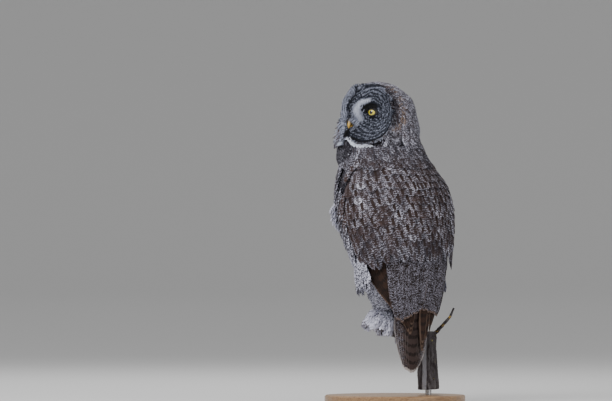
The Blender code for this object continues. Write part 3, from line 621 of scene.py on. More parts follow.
def coat_piece(name, shape, laid, marks, patch, material, nodes=(), patch_size=0.003):
    """Joins leaves into one mesh, with its maps, markings and material."""
    points, reach = laid
    count, size = points.shape[:2]
    corners, totals = shape["corners"], shape["totals"]
    mesh = bpy.data.meshes.new(name)
    mesh.vertices.add(count * size)
    mesh.vertices.foreach_set("co", points.astype(np.float32).ravel())
    index = (np.arange(count)[:, None] * size + corners[None, :]).ravel()
    mesh.loops.add(len(index))
    mesh.loops.foreach_set("vertex_index", index.astype(np.int32))
    starts = np.concatenate(([0], np.cumsum(totals)[:-1]))
    starts = (np.arange(count)[:, None] * len(corners) + starts[None, :]).ravel()
    mesh.polygons.add(len(starts))
    mesh.polygons.foreach_set("loop_start", starts.astype(np.int32))
    mesh.update(calc_edges=True)
    mesh.shade_smooth()
    rim = np.tile(shape["k"] == 0, count)
    pairs = np.empty(len(mesh.edges) * 2, np.int32)
    mesh.edges.foreach_get("vertices", pairs)
    sharp = mesh.attributes.new("sharp_edge", "BOOLEAN", "EDGE")
    sharp.data.foreach_set("value", rim[pairs.reshape(-1, 2)].all(axis=1))
    local = stack(shape["s"], shape["t"])
    vane = np.broadcast_to(local, (count, size, 2))
    patches = patch[:, None, :] + (local * (0.5, 1.0) - (0.0, 0.5)) * patch_size
    for label, values in (("OFBake", patches), ("Vane", vane), ("Reach", reach * 100)):
        layer = mesh.uv_layers.new(name=label)
        layer.uv.foreach_set("vector", values[:, corners].astype(np.float32).ravel())
    colours = mesh.color_attributes.new("Mark", "FLOAT_COLOR", "POINT")
    if marks.ndim == 2:
        marks = np.broadcast_to(marks[:, None, :], (count, size, 4))
    colours.data.foreach_set("color", marks.astype(np.float32).ravel())
    mesh.materials.append(material)
    return place_piece(bpy.data.objects.new(name, mesh), nodes)


def link(thing):
    """Puts an object in the scene."""
    bpy.context.scene.collection.objects.link(thing)


def place_piece(piece, nodes=()):
    """Puts a finished piece in the scene, on the model's one body."""
    link(piece)
    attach(piece, "root")
    if nodes:
        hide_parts(*nodes)
    return piece


def body_patch(angle, height):
    """Where a spot of the body lies on the skin's unwrap."""
    return stack(0.5 + angle / math.tau * 0.96, 0.02 + height * 1.3)


def face_patch(left, up):
    """Where a spot of the face lies on the skin's unwrap."""
    return stack(0.5 + left * 4.6, 0.45 + up * 4.6)


# The bird's skin and the places of its feathers

def torso_point(angle, height, depth):
    """Like body_point, but closing in under the belly as the torso does."""
    drop = np.clip((BELLY_TOP - height) / (BELLY_TOP - BELLY_FOOT), 0.0, 0.985)
    close = np.sqrt(1 - drop**2)
    row = table_curve(STATIONS, np.maximum(height, BELLY_FOOT))
    middle_y = row[..., 1] + 0.40 * row[..., 3] * (1 - close)
    return stack(
        row[..., 0] + (row[..., 2] + depth) * np.sin(angle) * close,
        middle_y + (row[..., 3] + depth) * np.cos(angle) * close,
        height,
    )


def torso_sink(angle, height):
    """How deep the skin lies: sunk behind the wing's front edge and under the flight feathers."""
    turn = np.abs(angle)
    front = wing_front(height)
    under = (1 - smooth(height, 0.355, 0.400)) * (1 - smooth(turn, front, front + 0.14))
    groove = bell(turn - front, 0.05, 0.06) * smooth(height, 0.30, 0.36) * (1 - smooth(height, 0.48, 0.52))
    deep = 0.0170 * under + 0.0130 * groove * (1 - under) + 0.0060 * pocket_share(turn, height)
    return deep + throat_sink(angle, height)


def neck_ahead(left):
    """How far forward the front of the neck stands in the head's own directions."""
    return 0.97 * np.sqrt(np.maximum(0.094**2 - left**2, 0.0004)) - 0.003


def face_skin(left, up):
    """The face, with its lower edge carried forward onto the throat and a mound round each eye."""
    local = face_local(left, up)
    lip = smooth(-up, 0.034, 0.060) * np.maximum(neck_ahead(left) - local[..., 0], 0)
    mound = 0.0082 * (1 - smooth(eye_share(left, up), 1.05, 2.1))
    return stack(local[..., 0] + lip + mound, local[..., 1], local[..., 2])


def face_frame(left, up):
    """Places of the face and the directions out of it."""
    reach = 0.0015
    here = head_world(face_skin(left, up))
    aside = head_world(face_skin(left + reach, up)) - head_world(face_skin(left - reach, up))
    above = head_world(face_skin(left, up + reach)) - head_world(face_skin(left, up - reach))
    return here, unit(np.cross(aside, above))


def head_frame(direction):
    """Places of the head's surface in given directions, and the directions out of it."""
    helper = np.where(np.abs(direction[:, 2:3]) > 0.9, (0.0, 1.0, 0.0), UPWARD)
    first = unit(np.cross(direction, helper))
    second = np.cross(direction, first)
    here = head_world(head_local(direction))
    along = []
    for way in (first, second):
        ahead, behind = unit(direction + 0.02 * way), unit(direction - 0.02 * way)
        along.append(head_world(head_local(ahead)) - head_world(head_local(behind)))
    normal = unit(np.cross(along[0], along[1]))
    outward = np.sum(normal * (here - HEAD_CENTRE), axis=-1, keepdims=True)
    return here, normal * np.sign(outward)


def pocket_share(turn, height):
    """The hollow between the breast and the bend of the wing, 1 in its middle; its shadow is painted into the
    marks.
    """
    across = (turn - math.radians(95.5)) / math.radians(8.5)
    return np.exp(-((across**2 + ((height - 0.472) / 0.027) ** 2) ** 2))


def throat_sink(angle, height):
    """How much further in the throat lies than the solids, on the side the head is turned to."""
    return 0.0095 * np.exp(-(((angle - 2.0) / 0.60) ** 2) - ((height - 0.546) / 0.020) ** 2)


def body_marks(angle, height, rng):
    """Markings of the body: dark streak, paleness and brownness, and a random number, with the shade of the
    hollow by the wing's bend painted in.
    """
    turn = np.abs(angle)
    pocket_shade = pocket_share(turn, height)
    beard = bell(angle, 1.47, 0.11) * smooth(height, 0.545, 0.562)
    front = wing_front(height)
    breast = smooth(turn, front - 0.05, front + 0.15)
    neck = smooth(height, 0.490, 0.560)
    low = 1 - smooth(height, 0.335, 0.400)
    flank = breast * (1 - smooth(height, 0.300, 0.370))
    column = bell(turn, math.radians(70), 0.045) * smooth(height, 0.40, 0.43)
    column = column * (1 - smooth(height, 0.505, 0.530))
    outer = smooth(turn, front - 0.30, front - 0.12) * (1 - breast) * (1 - neck)
    streak = 1.0 - 0.35 * neck - 0.15 * low * (1 - breast) - 0.75 * flank - 0.3 * column + 0.4 * beard
    pale = 0.32 - 0.04 * low - 0.02 * neck + 0.14 * breast + 0.50 * flank + 0.24 * column - 0.08 * outer
    # Painted shade of the hollow beside the wing's bend: no pale and less brown there, so it shows dark
    pale = (pale + 0.18 * smooth(height, 0.562, 0.584)) * (1 - 0.6 * beard) * (1 - pocket_shade)
    brown = 0.60 - 0.20 * low - 0.25 * neck + 0.25 * outer - 0.30 * breast - 0.6 * pocket_shade
    chance = rng.random(np.shape(turn))
    streak = streak * (0.75 + 0.4 * rng.random(np.shape(turn)))
    pale = pale + 0.12 * rng.normal(size=np.shape(turn))
    return stack(np.clip(streak, 0, 1), np.clip(pale, 0, 1), np.clip(brown, 0, 1), chance)


def moustache(near):
    """The height of the white bar under the disc."""
    return read(MOUSTACHE, near)


def far_lift(left):
    """How much higher the white bar runs on the far side of the face."""
    return 0.0065 * smooth(-left, 0.0, 0.010)


def crescent(up):
    """How far from the middle the white crescent between the eyes runs."""
    return read(CRESCENT, up)


def face_marks(left, up, rng):
    """Markings of the face: dark rings, white crescents and bars, brown rim, and a random number."""
    near = np.abs(left)
    share = disc_share(left, up)
    turn = np.arctan2(up - EYE_UP, near - EYE_APART)
    speckle = rng.random(np.shape(near))
    broken = np.sin(11 * turn + 17 * share) + np.sin(5 * turn - 9 * share + np.sign(left))
    rings = np.sin(share * math.tau * 8.8 + 0.9 * np.sin(3 * turn + 1.0) + 0.85 * broken)
    low = smooth(-turn, 0.3, 1.4)
    high = smooth(turn, 0.4, 1.2)
    dark = 0.77 + (0.37 - 0.12 * low - 0.12 * high) * rings + (0.65 + 0.35 * low) * (speckle - 0.5)
    dark = dark - 0.28 * smooth(-left, 0.0, 0.02) - 0.12 * smooth(up, 0.050, 0.070)
    black = np.exp(-((((near - 0.0300) / 0.0160) ** 2 + ((up - 0.0295) / 0.0112) ** 2) ** 2.6))
    around = 1 - smooth(eye_share(left, up), 1.12, 1.38)
    white = 0.95 * bell(near, crescent(up), 0.0046 + 0.0040 * smooth(up, 0.025, 0.045))
    white = white * smooth(up, -0.006, 0.006) * (1 - smooth(up, 0.043, 0.056))
    bar_white = bell(up - moustache(near), far_lift(left), 0.0044, 4) * smooth(near, 0.004, 0.008)
    bar_white = bar_white * (1 - smooth(near, 0.044, 0.052))
    chin = np.exp(-(((near / 0.0042) ** 2 + ((up + 0.028) / 0.0072) ** 2) ** 2))
    stripe = bell(near, 0.0, 0.0036) * smooth(up, 0.012, 0.030)
    beard = bell(near, 0.0, 0.0075) * (1 - smooth(up, -0.046, -0.034))
    outer = (1 - smooth(turn, 1.45, 1.95)) * smooth(turn, -2.3, -1.9)
    rim = smooth(share, 0.945, 0.975) * (1 - smooth(share, 1.015, 1.05)) * outer
    rim = rim * (1 - smooth(-left, 0.0, 0.02))
    ruff = smooth(share, 1.01, 1.05) * outer
    dark = dark * (1 - 0.75 * white) + 0.9 * rim + 1.6 * np.maximum(np.maximum(black, 0.9 * around), chin)
    dark = np.maximum(dark, 1.1 * np.maximum(stripe, beard))
    dark = np.where(ruff > 0.5, 0.15 + 0.9 * speckle, dark)
    brown = np.clip(0.30 * rim + ruff * np.where(speckle > 0.5, 0.85, 0.1), 0, 1)
    white = np.maximum(white * (1 - black) * (1 - around) * (1 - stripe), 1.2 * bar_white)
    white = np.clip(white, 0, 1.2) + ruff * np.where(speckle < 0.3, 0.5, 0.0)
    return stack(dark, white, brown, rng.random(np.shape(near)))


def arm_point(along, turn, out):
    """A point along the perch's arm, out from its axis at an angle from its top to the back."""
    back = ARM_ALONG.cross(Vector((0, 0, 1))).normalized()
    back = -back if back.y < 0 else back
    up = ARM_ALONG.cross(back).normalized()
    up = -up if up.z < 0 else up
    return ARM_MIDDLE + ARM_ALONG * along + out * (math.cos(turn) * up + math.sin(turn) * back)


def ball_centre(label):
    """The middle of a foot's ball, over the arm."""
    return arm_point(FOOT_PLACES[label], 0, ARM_RADIUS + BALL_RADIUS + GAP)


def toe_paths(label):
    """The middle lines of a foot's four toes."""
    for back, splay in ((1, 1), (1, -1), (-1, 1), (-1, -1)):
        path = []
        for k in range(6):
            turn = TOE_TURN[0] + (TOE_TURN[1] - TOE_TURN[0]) * k / 5
            along = FOOT_PLACES[label] + splay * TOE_SPREAD[label] * (0.35 + 0.65 * k / 5)
            path.append(arm_point(along, back * turn, ARM_RADIUS + TOE_RADIUS + GAP * 1.5))
        yield path


def leg_middle(label, share):
    """Points on the middle line of a leg at shares of its length."""
    hip = np.array((SIDES[label] * HIP[0], HIP[1], HIP[2]))
    foot = np.array(ball_centre(label)) + BALL_RADIUS * 0.4 * UPWARD
    return hip + (foot - hip) * np.asarray(share)[..., None]


def leg_half(share):
    """The half width of a leg at shares of its length."""
    return THIGH_SWELL * np.maximum(1 - share, 0) ** 0.8 + LEG_RADIUS


# Smooth bodies made from a sphere or a sheet whose points are moved

def spindle(sides, rows, place):
    """A closed form: a sphere's points, moved to where place puts each turn and share."""
    builder = bmesh.new()
    bmesh.ops.create_uvsphere(builder, u_segments=sides, v_segments=rows, radius=1.0)
    for vertex in builder.verts:
        share = math.acos(max(-1.0, min(1.0, -vertex.co.z))) / math.pi
        vertex.co = place(math.atan2(vertex.co.y, vertex.co.x), share, math.hypot(vertex.co.x, vertex.co.y))
    return builder


def tube_along(path, radius, sides, rows, rough=None):
    """A tube with closed, slightly domed ends along a path of points."""
    points = [Vector(point) for point in path]
    lengths = [0.0]
    for before, after in zip(points, points[1:]):
        lengths.append(lengths[-1] + (after - before).length)

    def spot(share):
        reach = min(max(share, 0.0), 1.0) * lengths[-1]
        k = max(i for i in range(len(points) - 1) if lengths[i] <= reach + 1e-9)
        return points[k].lerp(points[k + 1], (reach - lengths[k]) / (lengths[k + 1] - lengths[k]))

    def place(turn, share, closing):
        run = min(max((share - 0.06) / 0.88, 0.0), 1.0)
        along = (spot(run + 0.02) - spot(run - 0.02)).normalized()
        side = along.cross(Vector(HELPER)).normalized()
        up = side.cross(along)
        out = radius(run) * (1.0 if 0.06 < share < 0.94 else closing / math.sin(math.pi * 0.06))
        out = min(out, radius(run))
        spoke = math.cos(turn) * side + math.sin(turn) * up
        return spot(run) + spoke * (out + (rough(run, turn, out) if rough else 0.0))

    return spindle(sides, rows, place)


def object_from(name, builder, material):
    """An object with smooth faces and one material from a finished bmesh."""
    bmesh.ops.recalc_face_normals(builder, faces=builder.faces)
    mesh = bpy.data.meshes.new(name)
    builder.to_mesh(mesh)
    builder.free()
    mesh.shade_smooth()
    mesh.materials.append(material)
    return bpy.data.objects.new(name, mesh)


def piece_from(name, builder, material, nodes=()):
    """Turns a finished bmesh into a piece of the model."""
    return place_piece(object_from(name, builder, material), nodes)


# Pieces of the bird

def build_skin(look, settings):
    """One skin under all feathers: torso, neck, head, legs and toes, merged and evened."""
    depth = settings.coat_depth
    shells = []

    def torso(turn, share, closing):
        height = 0.238 + (0.600 - 0.238) * share
        close = min(1.0, closing / 0.20)
        row = table_curve(STATIONS, height)
        point = torso_point(turn, height, -(depth + torso_sink(turn, height)))
        middle = np.array((row[0], row[1], height))
        return Vector(middle + (point - middle) * close)

    def head(turn, share, closing):
        direction = np.array((math.cos(turn) * closing, math.sin(turn) * closing, -math.cos(share * math.pi)))
        local = head_local(direction)
        local = local * (1 - 0.6 * depth / np.linalg.norm(local))
        return Vector(head_world(local))

    shells.append(spindle(96, 80, torso))
    shells.append(spindle(72, 56, head))
    for label in SIDES:
        def leg(turn, share, closing, label=label):
            out = (float(leg_half(share * 0.96)) - 0.25 * depth) * min(1.0, closing / 0.25)
            spoke = Vector((math.sin(turn), 1.05 * math.cos(turn), 0))
            return Vector(leg_middle(label, share * 0.96)) + out * spoke

        shells.append(spindle(24, 18, leg))
        for path in toe_paths(label):
            shells.append(tube_along(path, lambda run: TOE_RADIUS - 0.0012 - 0.0012 * run, 14, 18))
    mesh = bpy.data.meshes.new("owl_skin")
    joined = bmesh.new()
    for shell in shells:
        bmesh.ops.recalc_face_normals(shell, faces=shell.faces)
        shell.to_mesh(mesh)
        shell.free()
        joined.from_mesh(mesh)
    joined.to_mesh(mesh)
    joined.free()
    skin = bpy.data.objects.new("owl_skin", mesh)
    link(skin)
    remesh = skin.modifiers.new("even", "REMESH")
    remesh.mode = "VOXEL"
    remesh.voxel_size = settings.skin_grain
    relax = skin.modifiers.new("relax", "SMOOTH")
    relax.iterations = 3
    graph = bpy.context.evaluated_depsgraph_get()
    skin.data = bpy.data.meshes.new_from_object(skin.evaluated_get(graph))
    skin.modifiers.clear()
    mesh = skin.data
    mesh.shade_smooth()
    places = np.empty(len(mesh.vertices) * 3, np.float32)
    mesh.vertices.foreach_get("co", places)
    places = places.reshape(-1, 3).astype(float)
    rng = np.random.default_rng(5)
    row = table_curve(STATIONS, places[:, 2])
    angle = np.arctan2((places[:, 0] - row[:, 0]) / row[:, 2], (places[:, 1] - row[:, 1]) / row[:, 3])
    marks = body_marks(angle, places[:, 2], rng)
    marks[places[:, 2] < 0.235] = (0.0, 0.9, 0.1, 0.5)
    local = places - HEAD_CENTRE
    ahead, aside = local @ HEAD_AHEAD, local @ HEAD_ASIDE
    on_face = (ahead > 0.03) & (local[:, 2] > -0.062) & (disc_share(aside, local[:, 2]) < 1.1)
    marks[on_face] = face_marks(aside, local[:, 2], rng)[on_face]
    colours = mesh.color_attributes.new("Mark", "FLOAT_COLOR", "POINT")
    colours.data.foreach_set("color", marks.astype(np.float32).ravel())
    mesh.materials.clear()
    mesh.materials.append(skin_material("skin", look))
    mesh.materials.append(face_material("face_skin", look))
    loops = np.empty(len(mesh.loops), np.int32)
    mesh.loops.foreach_get("vertex_index", loops)
    first = np.empty(len(mesh.polygons), np.int32)
    mesh.polygons.foreach_get("loop_start", first)
    mesh.polygons.foreach_set("material_index", on_face[loops[first]].astype(np.int32))
    bpy.context.scene.collection.objects.unlink(skin)
    nodes = ["head", "neck", "torso", "leg_left", "leg_right", "foot_left", "foot_right"]
    return place_piece(skin, nodes)


def skin_material(name, look):
    """The down next to the skin, in the coat's own markings, darkened as painted shade under the feathers."""
    paint = Paint(name, roughness=0.95, **{"Specular IOR Level": 0.1})
    streak, pale, brown, _ = paint.marks()
    place = paint.place()
    fleck = paint.noise(place, 300.0, 3.0, 0.6)
    dark = paint.mix(look.dark, look.brown, brown)
    light = paint.mix(look.grey, look.pale, pale)
    coat = paint.mix(dark, light, paint.step(fleck - streak * 0.12, 0.38, 0.62))
    # Painted shade: the coat's colour darkened, least where the markings are pale
    return paint.finish(colour=paint.shade(coat, 0.35 + pale * 0.45), normal=paint.bump(fleck, 0.5, 0.001))


def diagonal_rows(tips, spacing, end, shift):
    """Spots in rows down one side: each feather's angle from the back's middle, tip height and row."""
    rows = []
    for i, tip in enumerate(tips):
        high = end(tip)
        step = spacing(tip) / girth(tip)
        angle = (np.arange(int(high / step) + 2) + (i * shift) % 1.0 - 0.5) * step
        angle = angle[(angle > -0.3 * step) & (angle < high + 0.1 * step)]
        rows.append((angle, np.full(len(angle), tip), np.full(len(angle), i)))
    return [np.concatenate(part) for part in zip(*rows)]


def covert_end(turn):
    """The height at which the wing coverts end over the flight feathers."""
    return COVERT_TIPS - 0.020 * smooth(turn, math.radians(40), math.radians(74))


def build_mantle(look, settings):
    """Mantle, scapulars and wing coverts: broad feathers in rows that slant in towards the back's middle."""
    rng = np.random.default_rng(11)
    shape = leaf(6, 8)
    step = settings.mantle_step
    tips = COVERT_TIPS + step * np.arange(int((0.550 - COVERT_TIPS) / step))

    def spacing(height):
        return settings.mantle_width * 1.72 * (1 - 0.30 * smooth(height, 0.47, 0.55))

    def end(height):
        return wing_front(height) - 0.11 * bell(height, 0.470, 0.034, 4)

    sides = []
    for side, shift in ((1, -0.58), (-1, 0.42)):
        turn, tip, row = diagonal_rows(tips, spacing, end, shift)
        sides.append((side * turn, tip + covert_end(turn) - COVERT_TIPS, row))
    turn, tip, row = [np.concatenate(part) for part in zip(*sides)]
    count = len(turn)
    turn = turn + rng.normal(0, 0.012, count)
    tip = tip + rng.normal(0, 0.0012, count)
    high = smooth(tip, 0.47, 0.55)
    length = settings.mantle_length * (1 + 0.55 * np.exp(-row / 2.0)) * (1 - 0.35 * high)
    length = length * rng.uniform(0.94, 1.06, count)
    half = settings.mantle_width * (1 - 0.30 * high) * rng.uniform(0.94, 1.06, count)
    drift = -np.sign(turn) * (0.20 * smooth(np.abs(turn), 0.05, 0.4)) + rng.normal(0, 0.05, count)
    edge = smooth(np.abs(turn), wing_front(tip) - 0.12, wing_front(tip))
    lift = 0.0012 + 0.0014 * rng.random(count) - 0.004 * edge
    spots = (turn, tip + length * 0.98, drift, half, length, -0.0090 - 0.003 * edge, lift)
    laid = lay_on_body(shape, spots, rng, rough=0.022)
    marks = body_marks(turn, tip, rng)
    material = plumage_material("mantle_feathers", look, fineness=1.25, streak_width=0.38)
    nodes = ["wing_left_coverts", "wing_right_coverts"]
    return coat_piece("coat_mantle_and_coverts", shape, laid, marks, body_patch(turn, tip), material, nodes)


def build_neck(look, settings):
    """Neck and nape: smaller feathers all round, in close rows."""
    rng = np.random.default_rng(12)
    shape = leaf(4, 6)
    angles, tips = [], []
    for i, tip in enumerate(np.arange(0.528, 0.616, 0.0062)):
        spacing = 0.0082 + 0.005 * (1 - smooth(tip, 0.53, 0.57))
        count = int(math.tau * girth(tip) / spacing)
        angles.append((np.arange(count) + 0.5 * (i % 2)) * math.tau / count - math.pi)
        tips.append(np.full(count, tip))
    turn, tip = np.concatenate(angles), np.concatenate(tips)
    root = body_point(turn, tip + 0.018, 0.0) - HEAD_CENTRE
    clear = (root @ HEAD_AHEAD < 0.010) | (root[:, 2] < -0.060)
    turn, tip = turn[clear], tip[clear]
    count = len(turn)
    turn = turn + rng.normal(0, 0.018, count)
    tip = tip + rng.normal(0, 0.0015, count)
    low = 1 - smooth(tip, 0.53, 0.57)
    length = (0.022 + 0.008 * low) * rng.uniform(0.9, 1.1, count)
    half = (0.0052 + 0.0026 * low) * rng.uniform(0.9, 1.1, count)
    sink = throat_sink(turn, tip) + 0.0065 * smooth(tip, 0.592, 0.616)
    spots = (
        turn, tip + length * 0.97, rng.normal(0, 0.10, count), half, length,
        -0.0075 - sink, 0.0012 + 0.0018 * rng.random(count) - sink,
    )
    laid = lay_on_body(shape, spots, rng, rough=0.05)
    material = plumage_material("neck_feathers", look, fineness=1.25, streak_width=0.42)
    return coat_piece("coat_neck", shape, laid, body_marks(turn, tip, rng), body_patch(turn, tip), material)


def build_breast(look, settings):
    """Breast, flanks and belly: longer, looser feathers with dark streaks, pale low down."""
    rng = np.random.default_rng(13)
    shape = leaf(4, 8)
    angles, tips = [], []
    for i, tip in enumerate(np.arange(0.226, 0.545, 0.0105)):
        front = wing_front(max(tip, 0.30)) - 0.06 + 0.20 * (1 - smooth(tip, 0.34, 0.39))
        step = 0.0135 / girth(max(tip, 0.28))
        turn = math.pi + (np.arange(-60, 61) + 0.5 * (i % 2)) * step
        turn = turn[(turn > front) & (turn < math.tau - front)]
        angles.append(np.where(turn > math.pi, turn - math.tau, turn))
        tips.append(np.full(len(turn), tip))
    turn, tip = np.concatenate(angles), np.concatenate(tips)
    open_side = pocket_share(np.abs(turn) - 0.03, np.clip(tip + 0.010, 0, 0.472)) < 0.45
    turn, tip = turn[open_side], tip[open_side]
    count = len(turn)
    turn = turn + rng.normal(0, 0.02, count)
    tip = tip + rng.normal(0, 0.002, count)
    length = (0.042 + 0.012 * (1 - smooth(tip, 0.27, 0.36))) * rng.uniform(0.88, 1.12, count)
    half = 0.0082 * rng.uniform(0.85, 1.1, count)
    low = 1 - smooth(tip, 0.25, 0.33)
    sink = throat_sink(turn, tip)
    spots = (
        turn, tip + length * 0.97, rng.normal(0, 0.13, count), half, length,
        -0.0085 - sink, 0.0010 + 0.0022 * rng.random(count) + 0.002 * low - sink,
    )
    laid = lay_on_body(shape, spots, rng, rough=0.06, point_at=torso_point)
    material = plumage_material("breast_feathers", look, fineness=0.85, streak_width=0.30)
    marks = body_marks(turn, tip, rng)
    pieces = [coat_piece("coat_breast_and_belly", shape, laid, marks, body_patch(turn, tip), material)]
    # A pale tuft that hangs out of the hollow beside the wing's bend
    count = 170
    turn = rng.normal(math.radians(117), 0.060, count)
    tip = rng.uniform(0.382, 0.432, count)
    length = rng.uniform(0.016, 0.030, count)
    stand = (0.004 + 0.012 * rng.random(count)) * smooth(tip, 0.372, 0.405)
    spots = (turn, tip + length, rng.normal(0.12, 0.30, count), 0.0016, length, -0.004, stand)
    laid = lay_on_body(shape, spots, rng, camber=0.0, thick=0.0005, point_at=torso_point)
    marks = stack(0.0, rng.uniform(0.9, 1.3, count), 0.0, rng.random(count))
    pieces.append(coat_piece("coat_breast_tuft", shape, laid, marks, body_patch(turn, tip), material))
    # Loose feathers of the flanks, which hang over the thighs
    count = 760
    shape = leaf(2, 6)
    turn = rng.uniform(1.42, 2.36, count)
    share = rng.random(count)
    tip = 0.238 + 0.046 * share + 0.03 * (turn - 2.1) ** 2
    length = rng.uniform(0.036, 0.050, count)
    stand = (0.020 - 0.014 * share) * rng.uniform(0.2, 1.0, count) * smooth(turn, 1.30, 1.75)
    side = np.sign(rng.random(count) - 0.5)
    stand = stand - 0.010 * (side < 0)
    turn = turn * side
    spots = (turn, tip + length, rng.normal(0, 0.16, count), 0.0044, length, -0.0120, stand)
    laid = lay_on_body(shape, spots, rng, camber=0.05, rough=0.06)
    marks = stack(0.10 * rng.random(count), rng.uniform(0.62, 0.88, count), 0.05, rng.random(count))
    pieces.append(coat_piece("coat_thigh_tufts", shape, laid, marks, body_patch(turn, tip), material))
    return pieces


def build_crown(look, settings):
    """Crown, nape and sides of the head: small feathers that run back from the face and down the nape."""
    rng = np.random.default_rng(14)
    shape = leaf(3, 5)
    total = settings.head_feathers
    k = np.arange(total) + 0.5
    up = 1 - 2 * k / total
    turn = k * math.pi * (1 + math.sqrt(5))
    direction = stack(np.cos(turn) * np.sqrt(1 - up**2), np.sin(turn) * np.sqrt(1 - up**2), up)
    direction = unit(direction + rng.normal(0, 0.010, direction.shape))
    local = head_local(direction)
    share = disc_share(local[:, 1], local[:, 2])
    keep = ((local[:, 0] < 0.018) | (share > 1.035)) & (local[:, 2] > NECK_TOP - HEAD_CENTRE[2] - 0.006)
    keep &= (local[:, 2] > -0.02) | (local[:, 0] < 0.035) | (np.abs(local[:, 1]) > 0.045)
    keep &= local[:, 0] < 0.072
    direction, local, share = direction[keep], local[keep], share[keep]
    here, normal = head_frame(direction)
    top = smooth(local[:, 2], 0.015, 0.085)[:, None]
    lie = -HEAD_AHEAD * (0.30 + 0.9 * top) - UPWARD * (1.05 - 0.95 * top)
    lie = lie + rng.normal(0, 0.10, lie.shape)
    front = 1 - smooth(share, 1.12, 1.45)
    count = len(here)
    length = (0.0150 - 0.0055 * front) * rng.uniform(0.88, 1.12, count)
    half = (0.0040 - 0.0016 * front) * rng.uniform(0.88, 1.12, count)
    near_rim = front * smooth(local[:, 0], -0.030, 0.0)
    normal = unit(normal + near_rim[:, None] * (0.8 * unit(here - HEAD_CENTRE) + top * (1.1 * UPWARD)))
    shift = length * (0.40 - 0.33 * near_rim)
    here = here - normal * 0.0035 - unit(lie) * shift[:, None]
    tip = 0.0045 + 0.0012 * rng.random(count) + 0.0012 * top[:, 0] - 0.0028 * near_rim
    laid = lay_on_frames(shape, here, normal, lie, (half, length, 0.0, tip), rng, 0.085 - 0.055 * near_rim)
    low = 1 - smooth(local[:, 2], -0.045, 0.0)
    turn = np.arctan2(local[:, 2] - EYE_UP, np.abs(local[:, 1]) - EYE_APART)
    outer = (1 - smooth(turn, 1.45, 1.85)) * smooth(turn, -1.2, -0.8)
    tawny = near_rim * outer * (rng.random(count) > 0.50)
    rim = outer * (1 - smooth(share, 1.015, 1.07)) * smooth(local[:, 0], 0.004, 0.022)
    marks = stack(
        0.50 + 0.30 * rng.random(count) - 0.4 * tawny + rim,
        (0.50 + 0.16 * rng.normal(size=count)) * (1 - rim),
        np.clip(0.18 + 0.82 * tawny - 0.1 * low, 0, 1) * (1 - 0.8 * rim),
        rng.random(count),
    )
    patch = stack(0.5 + np.arctan2(local[:, 1], -local[:, 0]) / math.tau * 0.96, 0.5 + local[:, 2] * 4.5)
    material = plumage_material("head_feathers", look, fineness=1.5, streak_width=0.44)
    return coat_piece("coat_crown_and_nape", shape, laid, np.clip(marks, 0, 1), patch, material)


def head_fill(left, up):
    """How far out in the head's front outline a place of its upper half lies: 1 at the edge."""
    return (np.maximum(left, 0) / HEAD_HALF_WIDTH) ** 2.5 + (np.maximum(up, 0) / HEAD_CROWN) ** 2.5


def build_face(look, settings):
    """The facial disc: fine feathers in rings that lie outward from each eye to the rim."""
    rng = np.random.default_rng(15)
    shape = leaf(2, 4)
    spots = []
    step = settings.face_step
    rings = int(0.056 / step)
    for side in (1, -1):
        for ring in range(rings):
            share = 0.150 + (1.050 - 0.150) * ring / (rings - 1)
            count = int(math.tau * share * 0.056 / (step * 0.86))
            turn = (np.arange(count) + 0.5 * (ring % 2)) * math.tau / count
            across = EYE_APART + 0.003 + share * 0.048 * np.cos(turn)
            high = EYE_UP - 0.002 + share * 0.065 * np.sin(turn)
            keep = (across > -0.0005) & (high > -0.062) & (eye_share(across, high) > 1.18)
            keep &= head_fill(across, high) < (0.95 if side > 0 else 0.84)
            spots.append((side * across[keep], high[keep], side * np.cos(turn[keep]), np.sin(turn[keep])))
    left, up, out, above = [np.concatenate(part) for part in zip(*spots)]
    count = len(left)
    left = left + rng.normal(0, 0.0004, count)
    up = up + rng.normal(0, 0.0004, count)
    keep = np.hypot(left / 0.0070, (up + 0.005) / 0.0115) > 1
    left, up, out, above = left[keep], up[keep], out[keep], above[keep]
    count = len(left)
    here, normal = face_frame(left, up)
    ahead, _ = face_frame(left + out * 0.004, up + above * 0.004)
    lie = ahead - here + rng.normal(0, 0.0003, here.shape)
    share = disc_share(left, up)
    top = smooth(head_fill(np.abs(left), up), 0.50, 0.90) * smooth(up, 0.0, 0.03)
    cheek = smooth(-left, 0.045, 0.066) * smooth(-up, -0.010, 0.006)
    length = (0.0085 + 0.0030 * share - 0.0048 * top + 0.0075 * cheek) * rng.uniform(0.85, 1.15, count)
    half = 0.0017 * rng.uniform(0.85, 1.15, count)
    tip = 0.0034 + 0.0010 * rng.random(count) + 0.0020 * smooth(share, 0.88, 1.0) * (1 - top) - 0.0012 * top
    sizes = (half, length, 0.0, tip)
    here = here - normal * 0.0012
    laid = lay_on_frames(shape, here, normal, lie, sizes, rng, 0.5, 0.0004, oval(0.48, 0.56))
    local = laid[0] - HEAD_CENTRE
    marks = face_marks(local @ HEAD_ASIDE, local[..., 2], rng)
    marks[..., 3] = rng.random(count)[:, None]
    material = face_material("face_feathers", look)
    return coat_piece("coat_facial_disc", shape, laid, marks, face_patch(left, up), material)


